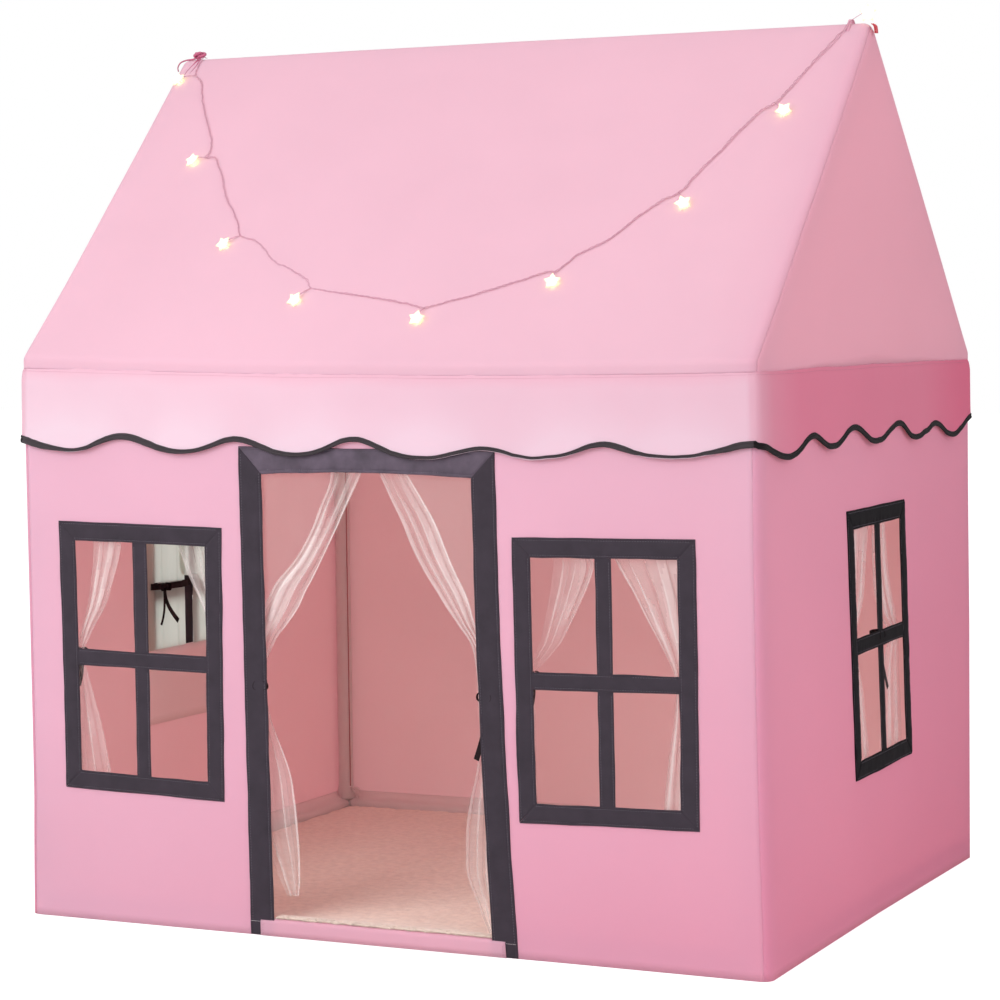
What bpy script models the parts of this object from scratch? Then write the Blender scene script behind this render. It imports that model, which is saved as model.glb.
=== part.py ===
"""Cloth playhouse tent for children, drawn over a frame of plugged tubes.

The tent stands on the floor at z = 0 and its door faces -Y. All lengths are metres.
"""
import math

import bmesh
import bpy
from mathutils import Vector

# Overall sizes, from cloth face to cloth face
WIDTH = 1.200
DEPTH = 1.000
EAVE_HEIGHT = 0.850
RIDGE_HEIGHT = 1.350

# Clearances
GAP = 0.0003
OVERRUN = 0.004
WELD = GAP / 10
SHARP_ANGLE = math.radians(35)
BEVEL_STEPS = 2
BEVEL_PROFILE = 0.5

# Cloth thicknesses
CLOTH = 0.0020
TRIM_CLOTH = 0.0015
SHEER_CLOTH = 0.0012
RIBBON_CLOTH = 0.0010

# Frame tubes and their moulded sockets
POLE_RADIUS = 0.0095
POLE_WALL = 0.0013
SOCKET_WALL = 0.0025
SOCKET_DEPTH = 0.034
SOCKET_WEB = 0.0025
HUB_SWELL = 0.0019
ROUND_SIDES = 12
OVAL_SIDES = 16

# Eave seam and valance
EAVE_SEAM_DROP = 0.010
VALANCE_LAP = 0.006
VALANCE_BEND = 0.016
VALANCE_DROP = 0.1225
WAVE_LENGTH = 0.200
WAVE_HEIGHT = 0.025
WAVE_STEPS = 6
TAPE_WIDTH = 0.012
TAPE_LIP = 0.001
TAPE_CLOTH = 0.0010
BEND_STEPS = 6

# Door
DOOR_X = -0.002
DOOR_WIDTH = 0.438
DOOR_DROP = 0.122
DOOR_TRIM = 0.040
THRESHOLD_LAP = 0.022

# Windows, each with its place along its wall and its height
WINDOW_WIDTH = 0.282
WINDOW_HEIGHT = 0.408
WINDOW_TRIM = 0.0285
WINDOW_BAR = 0.025
TRIM_LAP = 0.006
FRONT_LEFT_WINDOW_X = -0.398
FRONT_RIGHT_WINDOW_X = 0.3675
FRONT_WINDOW_Z = 0.401
LEFT_WINDOW_Y = -0.030
LEFT_WINDOW_Z = 0.465
LEFT_SILL_DROP = 0.092
RIGHT_WINDOW_Y = 0.022
RIGHT_WINDOW_Z = 0.418

# Curtains
CURTAIN_DEPTH = 0.013
FOLD_DEPTH = 0.006
ROW_STEPS = 2
DOOR_CURTAIN_COLUMNS = 10
WINDOW_CURTAIN_COLUMNS = 6

# Ribbon ties of the door curtains
RIBBON_WIDTH = 0.012
RIBBON_TAIL = 0.072
RIBBON_SPLAY = 0.010
RIBBON_KNOT = 0.007
RIBBON_SLACK = 0.0008

# Plush floor mat
MAT_THICKNESS = 0.022
MAT_CORNER = 0.030
MAT_EDGE = 0.006
CORNER_STEPS = 5

# Cloth loops on the ridge that carry the light string
LOOP_RADIUS = 0.0070
LOOP_CLOTH = 0.0015
LOOP_WIDTH = 0.008
LOOP_INSET = 0.034

# Light string
CORD_RADIUS = 0.0013
CORD_STEPS = 2
LEAD_SIDES = 6
STAR_RADIUS = 0.0145
STAR_VALLEY = 0.0072
STAR_THICKNESS = 0.0066
STAR_POINTS = 5
STAR_DROP = 0.026

# Battery box, its cover, its slide switch and its two cells
BOX_LENGTH = 0.074
BOX_WIDTH = 0.036
BOX_HEIGHT = 0.020
BOX_WALL = 0.0015
BOX_BEVEL = 0.0018
BOX_HEAD = 0.018
BOX_X = 0.560
BOX_UP_SLOPE = 0.395
GROOVE_DEPTH = 0.0008
GROOVE_FLOOR = 0.0160
GROOVE_HEIGHT = 0.0023
GRIP_RIDGES = 4
GRIP_RIDGE_SIZE = 0.0010
GRIP_PITCH = 0.0026
SWITCH_LENGTH = 0.005
SWITCH_WIDTH = 0.0044
SWITCH_RISE = 0.0013
SWITCH_TRAVEL = 0.003
SWITCH_SLOT_DEPTH = 0.0035
SWITCH_END_ROOM = 0.0005
CELL_RADIUS = 0.0070
CELL_LENGTH = 0.0490
CELL_TIP_RADIUS = 0.0027
CELL_TIP = 0.0010
CELL_TIP_SIDES = 8

# Heights, places, half widths and fold depths down each curtain, as shares of its opening
LEFT_CURTAIN_SHARES = (
    (1.035, 0.19, 0.145, 0.0),
    (1.012, 0.20, 0.145, 0.0),
    (0.955, 0.31, 0.145, 0.7),
    (0.872, 0.49, 0.155, 1.0),
    (0.727, 0.82, 0.165, 1.0),
    (0.632, 1.00, 0.140, 0.8),
    (0.558, 1.055, 0.060, 0.35),
    (0.532, 1.055, 0.060, 0.35),
    (0.436, 1.03, 0.130, 0.9),
    (0.290, 1.00, 0.180, 1.0),
    (0.092, 0.96, 0.190, 1.0),
)
RIGHT_CURTAIN_SHARES = (
    (1.035, 0.22, 0.110, 0.0),
    (1.012, 0.23, 0.110, 0.0),
    (0.955, 0.36, 0.120, 0.7),
    (0.872, 0.56, 0.135, 1.0),
    (0.727, 0.91, 0.168, 1.0),
    (0.643, 1.05, 0.134, 0.8),
    (0.558, 1.07, 0.060, 0.35),
    (0.532, 1.07, 0.060, 0.35),
    (0.436, 1.07, 0.130, 0.9),
    (0.290, 1.06, 0.180, 1.0),
    (0.185, 1.00, 0.205, 1.0),
    (0.087, 1.03, 0.170, 1.0),
)
WINDOW_CURTAIN_SHARES = (
    (0.57, 0.38, 0.235, 0.0),
    (0.53, 0.38, 0.235, 0.0),
    (0.46, 0.42, 0.235, 0.6),
    (0.26, 0.60, 0.250, 1.0),
    (0.10, 0.85, 0.180, 0.8),
    (0.02, 0.97, 0.090, 0.35),
    (-0.02, 0.97, 0.090, 0.35),
    (-0.26, 0.88, 0.180, 0.9),
    (-0.53, 0.83, 0.200, 1.0),
)
DOOR_FOLD_SHARE = 2.5
WINDOW_FOLD_SHARE = 1.5

# Route of the light string on the roof: x, and the distance up the slope from the eave
LEAD_ROUTE = (
    (0.560, 0.410),
    (0.561, 0.440),
    (0.566, 0.500),
    (0.571, 0.570),
    (0.571, 0.640),
)
SWAG_ROUTE = (
    (0.557, 0.676),
    (0.537, 0.632),
    (0.515, 0.588),
    (0.493, 0.543),
    (0.456, 0.459),
    (0.425, 0.398),
    (0.395, 0.342),
    (0.346, 0.293),
    (0.298, 0.240),
    (0.250, 0.191),
    (0.193, 0.166),
    (0.135, 0.148),
    (0.057, 0.126),
    (-0.023, 0.128),
    (-0.077, 0.138),
    (-0.153, 0.159),
    (-0.213, 0.199),
    (-0.270, 0.243),
    (-0.325, 0.280),
    (-0.405, 0.380),
    (-0.463, 0.462),
    (-0.492, 0.528),
    (-0.526, 0.592),
    (-0.560, 0.656),
    (-0.568, 0.680),
)
# Each star's place on that route, counted in its points, and the side that it hangs to
STAR_PLACES = ((3, 1), (6, 1), (9, 1), (12, 1), (15, 1), (18, 1), (20, 1), (23, -1))

# Sizes that follow from those above
SOCKET_BORE = POLE_RADIUS + GAP
SOCKET_RADIUS = SOCKET_BORE + SOCKET_WALL
HUB_RADIUS = SOCKET_RADIUS + HUB_SWELL
INSET = CLOTH + GAP + HUB_RADIUS
POST_X = WIDTH / 2 - INSET
POST_Y = DEPTH / 2 - INSET
BASE_Z = HUB_RADIUS
NOMINAL_SLOPE = math.atan2(RIDGE_HEIGHT - EAVE_HEIGHT, DEPTH / 2)
EAVE_Z = EAVE_HEIGHT - INSET * math.tan(NOMINAL_SLOPE / 2)
RIDGE_Z = RIDGE_HEIGHT - INSET
SLOPE = math.atan2(RIDGE_Z - EAVE_Z, POST_Y)
SEAM_Z = EAVE_Z - EAVE_SEAM_DROP
TRIM_FACE = -GAP
VALANCE_OFFSET = TRIM_CLOTH + 2 * GAP
HEM_Z = EAVE_HEIGHT - VALANCE_DROP
DOOR_HEIGHT = EAVE_HEIGHT - DOOR_DROP
DOOR_OPENING_HALF = DOOR_WIDTH / 2 - DOOR_TRIM
DOOR_OPENING_TOP = DOOR_HEIGHT - DOOR_TRIM
PANE_HALF_WIDTH = WINDOW_WIDTH / 2 - WINDOW_TRIM
PANE_HALF_HEIGHT = WINDOW_HEIGHT / 2 - WINDOW_TRIM

# Colour, roughness and metallic value of each finish
FINISHES = {
    "pink_cloth": ((0.87, 0.45, 0.60), 0.85, 0.0),
    "dark_trim": ((0.070, 0.055, 0.075), 0.80, 0.0),
    "sheer_cloth": ((0.88, 0.80, 0.78), 0.70, 0.0),
    "dark_ribbon": ((0.030, 0.015, 0.018), 0.55, 0.0),
    "plush": ((0.86, 0.76, 0.66), 0.95, 0.0),
    "white_tube": ((0.82, 0.80, 0.78), 0.40, 0.0),
    "white_moulding": ((0.75, 0.74, 0.72), 0.45, 0.0),
    "clear_cord": ((0.62, 0.42, 0.38), 0.35, 0.0),
    "cell_jacket": ((0.25, 0.27, 0.30), 0.35, 0.6),
}


def clear_objects():
    """Remove every object of the open scene."""
    for old in list(bpy.data.objects):
        bpy.data.objects.remove(old, do_unlink=True)


def finish_material(finish):
    """Return the named finish as a Principled material, made once."""
    material = bpy.data.materials.get(finish)
    if material:
        return material
    colour, roughness, metallic = FINISHES[finish]
    material = bpy.data.materials.new(finish)
    material.use_nodes = True
    shader = material.node_tree.nodes["Principled BSDF"]
    shader.inputs["Base Color"].default_value = (*colour, 1.0)
    shader.inputs["Roughness"].default_value = roughness
    shader.inputs["Metallic"].default_value = metallic
    material.diffuse_color = (*colour, 1.0)
    return material


def add_object(name, shape, finish):
    """Turn a bmesh into a named object with outward faces and the given finish."""
    bmesh.ops.recalc_face_normals(shape, faces=shape.faces)
    if shape.calc_volume(signed=True) < 0:
        bmesh.ops.reverse_faces(shape, faces=shape.faces)
    mesh = bpy.data.meshes.new(name)
    shape.to_mesh(mesh)
    shape.free()
    part = bpy.data.objects.new(name, mesh)
    bpy.context.scene.collection.objects.link(part)
    part.data.materials.append(finish_material(finish))
    return part


def soften(part):
    """Shade the part smooth apart from its sharp edges."""
    part.data.shade_smooth()
    part.data.set_sharp_from_angle(angle=SHARP_ANGLE)


def combine(part, tool, operation):
    """Join the tool to the part, or cut it away, and drop the tool."""
    modifier = part.modifiers.new(operation, "BOOLEAN")
    modifier.operation = operation
    modifier.object = tool
    graph = bpy.context.evaluated_depsgraph_get()
    mesh = bpy.data.meshes.new_from_object(part.evaluated_get(graph))
    part.modifiers.clear()
    part.data = mesh
    bpy.data.objects.remove(tool, do_unlink=True)


def axes_of(direction):
    """Two unit vectors across a direction, the same pair for it and its reverse."""
    upright = Vector((0, 0, 1))
    reference = Vector((1, 0, 0)) if direction.cross(upright).length < direction.length / 10 else upright
    across = direction.cross(reference).normalized()
    return across, direction.cross(across).normalized()


def ring_of(shape, centre, direction, radius, sides):
    """Add one circle of vertices round an axis."""
    across, along = axes_of(direction)
    ring = []
    for step in range(sides):
        angle = math.tau * step / sides
        ring.append(shape.verts.new(centre + radius * (math.cos(angle) * across + math.sin(angle) * along)))
    return ring


def skin(shape, rings, closed):
    """Join rings of vertices in turn, and the last to the first if closed."""
    pairs = list(zip(rings, rings[1:]))
    if closed:
        pairs.append((rings[-1], rings[0]))
    for first, second in pairs:
        count = len(first)
        for step in range(count):
            after = (step + 1) % count
            shape.faces.new((first[step], first[after], second[after], second[step]))


def rod_shape(start, direction, length, radius, sides=ROUND_SIDES):
    """A solid round rod."""
    shape = bmesh.new()
    unit = direction.normalized()
    ends = start, start + unit * length
    rings = [ring_of(shape, end, unit, radius, sides) for end in ends]
    skin(shape, rings, False)
    for ring in rings:
        shape.faces.new(ring)
    return shape


def tube_shape(start, end, outer, inner):
    """An open round tube with its wall closed at both ends."""
    shape = bmesh.new()
    unit = (end - start).normalized()
    rings = [
        ring_of(shape, start, unit, outer, ROUND_SIDES),
        ring_of(shape, end, unit, outer, ROUND_SIDES),
        ring_of(shape, end, unit, inner, ROUND_SIDES),
        ring_of(shape, start, unit, inner, ROUND_SIDES),
    ]
    skin(shape, rings, True)
    return shape


def block_shape(low, high):
    """A box between two corners."""
    shape = bmesh.new()
    bmesh.ops.create_cube(shape, size=1)
    for vertex in shape.verts:
        vertex.co = Vector([low[i] if vertex.co[i] < 0 else high[i] for i in range(3)])
    return shape


def thicken(shape, offset):
    """Extrude the whole sheet by an offset vector into a closed solid."""
    made = bmesh.ops.extrude_face_region(shape, geom=list(shape.faces))
    moved = [item for item in made["geom"] if isinstance(item, bmesh.types.BMVert)]
    bmesh.ops.translate(shape, verts=moved, vec=offset)
    return shape


def place_shape(shape, place):
    """Move each vertex from a wall's own axes into the tent's."""
    for vertex in shape.verts:
        vertex.co = Vector(place(*vertex.co))
    return shape


# Each wall's own axes: along the wall, in from its outer face, and up
def on_front(along, inward, up):
    return along, inward - DEPTH / 2, up


def on_back(along, inward, up):
    return along, DEPTH / 2 - inward, up


def on_right(along, inward, up):
    return WIDTH / 2 - inward, along, up


def on_left(along, inward, up):
    return inward - WIDTH / 2, along, up


def lattice_sheet(alongs, ups, open_cells, inward):
    """A flat sheet of cells on a wall, without the open ones."""
    shape = bmesh.new()
    grid = {}
    for column in range(len(alongs) - 1):
        for row in range(len(ups) - 1):
            if (column, row) in open_cells:
                continue
            corners = ((column, row), (column + 1, row), (column + 1, row + 1), (column, row + 1))
            for key in corners:
                if key not in grid:
                    grid[key] = shape.verts.new((alongs[key[0]], inward, ups[key[1]]))
            shape.faces.new([grid[key] for key in corners])
    return shape, grid


def lattice(name, place, alongs, ups, open_cells, inward, thickness, finish):
    """A flat cloth piece of even thickness with rectangular openings."""
    shape, _ = lattice_sheet(alongs, ups, open_cells, inward)
    thicken(shape, (0, thickness, 0))
    return add_object(name, place_shape(shape, place), finish)


def socket_start(direction, others):
    """Distance from a hub's centre at which a bore clears its neighbours."""
    nearest = min(direction.angle(other) for other in others)
    return SOCKET_BORE / math.tan(nearest / 2) + SOCKET_WEB


def connector(name, centre, directions):
    """A moulded hub with a bored socket along each direction."""
    hub = bmesh.new()
    bmesh.ops.create_icosphere(hub, subdivisions=2, radius=HUB_RADIUS)
    bmesh.ops.translate(hub, verts=hub.verts, vec=centre)
    part = add_object(name, hub, "white_moulding")
    starts = []
    for direction in directions:
        starts.append(socket_start(direction, [other for other in directions if other is not direction]))
    for direction, start in zip(directions, starts):
        sleeve = rod_shape(centre, direction, start + SOCKET_DEPTH, SOCKET_RADIUS)
        combine(part, add_object("sleeve", sleeve, "white_moulding"), "UNION")
    for direction, start in zip(directions, starts):
        bore = rod_shape(centre + direction * start, direction, SOCKET_DEPTH + OVERRUN, SOCKET_BORE)
        combine(part, add_object("bore", bore, "white_moulding"), "DIFFERENCE")
    soften(part)
    return starts


def pole(name, first, first_start, second, second_start):
    """A tube that plugs into two hubs' sockets."""
    unit = (second - first).normalized()
    start = first + unit * (first_start + GAP)
    end = second - unit * (second_start + GAP)
    soften(add_object(name, tube_shape(start, end, POLE_RADIUS, POLE_RADIUS - POLE_WALL), "white_tube"))


def build_frame():
    """The tube frame: base, posts, eaves, rafters and ridge, with their hubs."""
    sides = (("left", -1), ("right", 1))
    ends = (("front", -1), ("back", 1))
    base = {}
    eave = {}
    ridge = {}
    for side, sx in sides:
        inward = Vector((-sx, 0, 0))
        for end, sy in ends:
            across = Vector((0, -sy, 0))
            rafter = Vector((0, -sy * math.cos(SLOPE), math.sin(SLOPE)))
            low = Vector((sx * POST_X, sy * POST_Y, BASE_Z))
            high = Vector((sx * POST_X, sy * POST_Y, EAVE_Z))
            upward = Vector((0, 0, 1))
            base[side, end] = low, connector(f"base_corner_{end}_{side}", low, [inward, across, upward])
            eave[side, end] = high, connector(
                f"eave_corner_{end}_{side}", high, [inward, across, Vector((0, 0, -1)), rafter])
        top = Vector((sx * POST_X, 0, RIDGE_Z))
        downs = [Vector((0, sy * math.cos(SLOPE), -math.sin(SLOPE))) for _, sy in ends]
        ridge[side] = top, connector(f"ridge_joint_{side}", top, [inward, *downs])
        for end, _ in ends:
            low, low_starts = base[side, end]
            high, high_starts = eave[side, end]
            pole(f"corner_post_{end}_{side}", low, low_starts[2], high, high_starts[2])
            slot = 1 if end == "front" else 2
            pole(f"rafter_{end}_{side}", high, high_starts[3], top, ridge[side][1][slot])
        for level, hubs in (("base", base), ("eave", eave)):
            front, front_starts = hubs[side, "front"]
            back, back_starts = hubs[side, "back"]
            pole(f"{level}_pole_{side}", front, front_starts[1], back, back_starts[1])
    for end, _ in ends:
        for level, hubs in (("base", base), ("eave", eave)):
            left, left_starts = hubs["left", end]
            right, right_starts = hubs["right", end]
            pole(f"{level}_pole_{end}", left, left_starts[0], right, right_starts[0])
    pole("ridge_pole", ridge["left"][0], ridge["left"][1][0], ridge["right"][0], ridge["right"][1][0])


def roof_line(depth):
    """Points of the front roof's section at a depth in from its face, from eave seam to ridge."""
    radius = INSET - depth
    points = [(-POST_Y - radius, SEAM_Z)]
    for step in range(BEND_STEPS + 1):
        angle = math.pi - (math.pi / 2 - SLOPE) * step / BEND_STEPS
        points.append((-POST_Y + radius * math.cos(angle), EAVE_Z + radius * math.sin(angle)))
    for step in range(BEND_STEPS):
        angle = math.pi / 2 + SLOPE * (1 - step / BEND_STEPS)
        points.append((radius * math.cos(angle), RIDGE_Z + radius * math.sin(angle)))
    points.append((-GAP / 2, RIDGE_Z + radius))
    return points


def build_roof():
    """Two sloping cloths that roll over the eave and meet along the ridge."""
    for end, sign in (("front", 1), ("back", -1)):
        shape = bmesh.new()
        rings = []
        for (outer_y, outer_z), (inner_y, inner_z) in zip(roof_line(0), roof_line(CLOTH)):
            rings.append([
                shape.verts.new((-WIDTH / 2, sign * outer_y, outer_z)),
                shape.verts.new((WIDTH / 2, sign * outer_y, outer_z)),
                shape.verts.new((WIDTH / 2, sign * inner_y, inner_z)),
                shape.verts.new((-WIDTH / 2, sign * inner_y, inner_z)),
            ])
        skin(shape, rings, False)
        shape.faces.new(rings[0])
        shape.faces.new(rings[-1])
        soften(add_object(f"roof_{end}", shape, "pink_cloth"))


def window_hole(centre):
    """Edges of a window's hole in the wall, along one axis, hidden under its trim."""
    return centre - PANE_HALF_WIDTH - TRIM_LAP, centre + PANE_HALF_WIDTH + TRIM_LAP


def window_hole_heights(centre):
    """Lower and upper edge of a window's hole in the wall."""
    return centre - PANE_HALF_HEIGHT - TRIM_LAP, centre + PANE_HALF_HEIGHT + TRIM_LAP


def build_front_and_back_walls():
    """The front wall's two window panels and its header, and the plain back wall."""
    top = SEAM_Z - GAP
    door_edge = DOOR_OPENING_HALF + TRIM_LAP
    heights = [0, *window_hole_heights(FRONT_WINDOW_Z), top]
    left = [-WIDTH / 2, *window_hole(FRONT_LEFT_WINDOW_X), DOOR_X - door_edge]
    right = [DOOR_X + door_edge, *window_hole(FRONT_RIGHT_WINDOW_X), WIDTH / 2]
    for side, alongs in (("left", left), ("right", right)):
        lattice(f"front_wall_{side}", on_front, alongs, heights, {(1, 1)}, 0, CLOTH, "pink_cloth")
    header = [DOOR_X - door_edge + GAP, DOOR_X + door_edge - GAP]
    over_door = [DOOR_OPENING_TOP + TRIM_LAP, top]
    lattice("front_wall_header", on_front, header, over_door, set(), 0, CLOTH, "pink_cloth")
    lattice("back_wall", on_back, [-WIDTH / 2, WIDTH / 2], [0, top], set(), 0, CLOTH, "pink_cloth")


def build_side_wall(name, place, window_y, hole_heights):
    """A side wall with its gable in one cloth, under the roof's edge."""
    edge = DEPTH / 2 - CLOTH - GAP
    alongs = [-edge, *window_hole(window_y), edge]
    ups = [0, *hole_heights, SEAM_Z]
    shape, grid = lattice_sheet(alongs, ups, {(1, 1)}, 0)
    slope_points = roof_line(CLOTH + GAP)[1:-1]
    front = [shape.verts.new((y, 0, z)) for y, z in slope_points]
    back = [shape.verts.new((-y, 0, z)) for y, z in reversed(slope_points)]
    apex = shape.verts.new((0, 0, RIDGE_Z + INSET - CLOTH - GAP))
    sill = [grid[column, len(ups) - 1] for column in range(len(alongs) - 1, -1, -1)]
    shape.faces.new([*sill, *front, apex, *back])
    thicken(shape, (0, CLOTH, 0))
    add_object(name, place_shape(shape, place), "pink_cloth")


def wave_height(share):
    """How far the valance's edge stands off its middle height, at a share of one wave."""
    return WAVE_HEIGHT / 2 * math.cos(math.tau * share)


def valance_stations():
    """Places round the tent as signs and shares of each side, with the edge's height and pitch."""
    front_waves = round(WIDTH / WAVE_LENGTH)
    side_waves = round(DEPTH / WAVE_LENGTH)
    sides = (
        (front_waves, WIDTH, lambda share: (2 * share - 1, -1)),
        (side_waves, DEPTH, lambda share: (1, 2 * share - 1)),
        (front_waves, WIDTH, lambda share: (1 - 2 * share, 1)),
        (side_waves, DEPTH, lambda share: (-1, 1 - 2 * share)),
    )
    stations = []
    for waves, length, corner in sides:
        for step in range(waves * WAVE_STEPS):
            share = step / (waves * WAVE_STEPS)
            pitch = WAVE_HEIGHT / 2 * math.tau * waves / length * math.sin(math.tau * waves * share)
            stations.append((corner(share), wave_height(waves * share), pitch))
    return stations


def ring_round_tent(name, section, finish):
    """A closed band round the tent; section gives its offsets and heights at a station."""
    shape = bmesh.new()
    rings = []
    for (sign_x, sign_y), wave, pitch in valance_stations():
        ring = []
        for offset, up in section(wave, pitch):
            ring.append(shape.verts.new((sign_x * (WIDTH / 2 + offset), sign_y * (DEPTH / 2 + offset), up)))
        rings.append(ring)
    skin(shape, rings, True)
    add_object(name, shape, finish)


def build_valance():
    """The scalloped cloth below the eave, and the dark tape along its edge."""
    hang = VALANCE_OFFSET
    top = SEAM_Z + VALANCE_LAP
    bend = top - VALANCE_BEND
    tape_face = hang + TRIM_CLOTH + GAP

    def valance_section(wave, _):
        return (
            (GAP, top),
            (GAP + TRIM_CLOTH, top),
            (hang + TRIM_CLOTH, bend),
            (hang + TRIM_CLOTH, HEM_Z + wave),
            (hang, HEM_Z + wave),
            (hang, bend),
        )

    def tape_section(wave, pitch):
        rise = (TAPE_WIDTH - TAPE_LIP) * math.sqrt(1 + pitch * pitch)
        return (
            (tape_face, HEM_Z + wave - TAPE_LIP),
            (tape_face + TAPE_CLOTH, HEM_Z + wave - TAPE_LIP),
            (tape_face + TAPE_CLOTH, HEM_Z + wave + rise),
            (tape_face, HEM_Z + wave + rise),
        )

    ring_round_tent("valance", valance_section, "pink_cloth")
    ring_round_tent("valance_tape", tape_section, "dark_trim")


def build_door_trim_and_threshold():
    """The dark door surround and the cloth sleeve over the front base tube."""
    outer = DOOR_WIDTH / 2
    alongs = [DOOR_X - outer, DOOR_X - DOOR_OPENING_HALF, DOOR_X + DOOR_OPENING_HALF, DOOR_X + outer]
    ups = [0, DOOR_OPENING_TOP, DOOR_HEIGHT]
    lattice("door_trim", on_front, alongs, ups, {(1, 0)}, TRIM_FACE, -TRIM_CLOTH, "dark_trim")

    # The sleeve is a channel over the tube whose front flange laps over the trims
    flange = -VALANCE_OFFSET
    roof = BASE_Z + POLE_RADIUS + GAP
    back = INSET + POLE_RADIUS + GAP
    section = (
        (flange - TRIM_CLOTH, 0), (flange - TRIM_CLOTH, roof), (flange - TRIM_CLOTH, roof + TRIM_CLOTH),
        (back + TRIM_CLOTH, roof + TRIM_CLOTH), (back + TRIM_CLOTH, 0), (back, 0), (back, roof),
        (flange, roof), (flange, 0),
    )
    inner_half = DOOR_OPENING_HALF - GAP
    shape = bmesh.new()
    rings = []
    for along in (DOOR_X - inner_half, DOOR_X + inner_half):
        rings.append([shape.verts.new((along, inward, up)) for inward, up in section])
    skin(shape, rings, False)
    for ring, sign in zip(rings, (-1, 1)):
        flange_end = shape.faces.new((ring[0], ring[1], ring[7], ring[8]))
        shape.faces.new((ring[1], ring[2], ring[3], ring[4], ring[5], ring[6], ring[7]))
        lapped = bmesh.ops.extrude_discrete_faces(shape, faces=[flange_end])["faces"]
        bmesh.ops.translate(shape, verts=lapped[0].verts, vec=(sign * THRESHOLD_LAP, 0, 0))
    bmesh.ops.remove_doubles(shape, verts=shape.verts, dist=WELD)
    add_object("door_threshold", place_shape(shape, on_front), "pink_cloth")


def build_window_trim(name, place, along, up):
    """A window's dark surround with its crossed bars."""
    bar = WINDOW_BAR / 2
    alongs = [along + edge for edge in (
        -WINDOW_WIDTH / 2, -PANE_HALF_WIDTH, -bar, bar, PANE_HALF_WIDTH, WINDOW_WIDTH / 2)]
    ups = [up + edge for edge in (
        -WINDOW_HEIGHT / 2, -PANE_HALF_HEIGHT, -bar, bar, PANE_HALF_HEIGHT, WINDOW_HEIGHT / 2)]
    panes = {(1, 1), (1, 3), (3, 1), (3, 3)}
    lattice(name, place, alongs, ups, panes, TRIM_FACE, -TRIM_CLOTH, "dark_trim")


def curtain_rows(shares, height, half_width, steps):
    """Rows down a curtain in real sizes, eased between the rows of its table."""
    rows = []
    for first, second in zip(shares, shares[1:]):
        for step in range(steps):
            share = step / steps
            ease = share * share * (3 - 2 * share)
            mixed = [a + (b - a) * blend for a, b, blend in zip(first, second, (share, ease, ease, ease))]
            rows.append(mixed)
    rows.append(list(shares[-1]))
    flat = CLOTH + GAP + SHEER_CLOTH / 2
    sized = []
    for number, (up, along, half, fold) in enumerate(rows):
        inward = flat if number <= steps else CURTAIN_DEPTH
        sized.append((up * height, along * half_width, half * half_width, fold * FOLD_DEPTH, inward))
    return sized


def curtain_sheet(shape, rows, columns, folds, centre, base, side):
    """One hanging cloth as a grid of vertices, with its folds in and out of the wall."""
    grid = []
    for up, along, half, fold, inward in rows:
        line = []
        for column in range(columns + 1):
            across = 2 * column / columns - 1
            depth = inward + fold * math.sin(math.pi * folds * across)
            line.append(shape.verts.new((centre + side * (along + half * across), depth, base + up)))
        grid.append(line)
    for upper, lower in zip(grid, grid[1:]):
        for column in range(columns):
            shape.faces.new((upper[column], upper[column + 1], lower[column + 1], lower[column]))
    return grid


def build_door_curtains():
    """The two sheer curtains, drawn to the sides and tied."""
    for name, shares, side in (
            ("door_curtain_left", LEFT_CURTAIN_SHARES, -1), ("door_curtain_right", RIGHT_CURTAIN_SHARES, 1)):
        shape = bmesh.new()
        rows = curtain_rows(shares, DOOR_OPENING_TOP, DOOR_OPENING_HALF, ROW_STEPS)
        curtain_sheet(shape, rows, DOOR_CURTAIN_COLUMNS, DOOR_FOLD_SHARE, DOOR_X, 0, side)
        for vertex in shape.verts:
            vertex.co.y -= SHEER_CLOTH / 2
        thicken(shape, (0, SHEER_CLOTH, 0))
        soften(add_object(name, place_shape(shape, on_front), "sheer_cloth"))


def build_window_curtains(name, place, along, up):
    """A window's pair of sheer curtains on one sewn heading."""
    shape = bmesh.new()
    rows = curtain_rows(WINDOW_CURTAIN_SHARES, 2 * PANE_HALF_HEIGHT, PANE_HALF_WIDTH, 1)
    left = curtain_sheet(shape, rows, WINDOW_CURTAIN_COLUMNS, WINDOW_FOLD_SHARE, along, up, -1)
    right = curtain_sheet(shape, rows, WINDOW_CURTAIN_COLUMNS, WINDOW_FOLD_SHARE, along, up, 1)
    shape.faces.new((left[0][0], right[0][0], right[1][0], left[1][0]))
    for vertex in shape.verts:
        vertex.co.y -= SHEER_CLOTH / 2
    thicken(shape, (0, SHEER_CLOTH, 0))
    soften(add_object(name, place_shape(shape, place), "sheer_cloth"))


def oval_band(centre, half_along, half_inward, cloth, low, high):
    """A flat ribbon closed round a squared oval."""
    shape = bmesh.new()
    rings = []
    for step in range(OVAL_SIDES):
        angle = math.tau * step / OVAL_SIDES
        reach = [math.copysign(math.sqrt(abs(part)), part) for part in (math.cos(angle), math.sin(angle))]
        ring = []
        for grow, up in ((0, low), (0, high), (cloth, high), (cloth, low)):
            along = centre[0] + (half_along + grow) * reach[0]
            inward = centre[1] + (half_inward + grow) * reach[1]
            ring.append(shape.verts.new((along, inward, up)))
        rings.append(ring)
    skin(shape, rings, True)
    return shape


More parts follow.
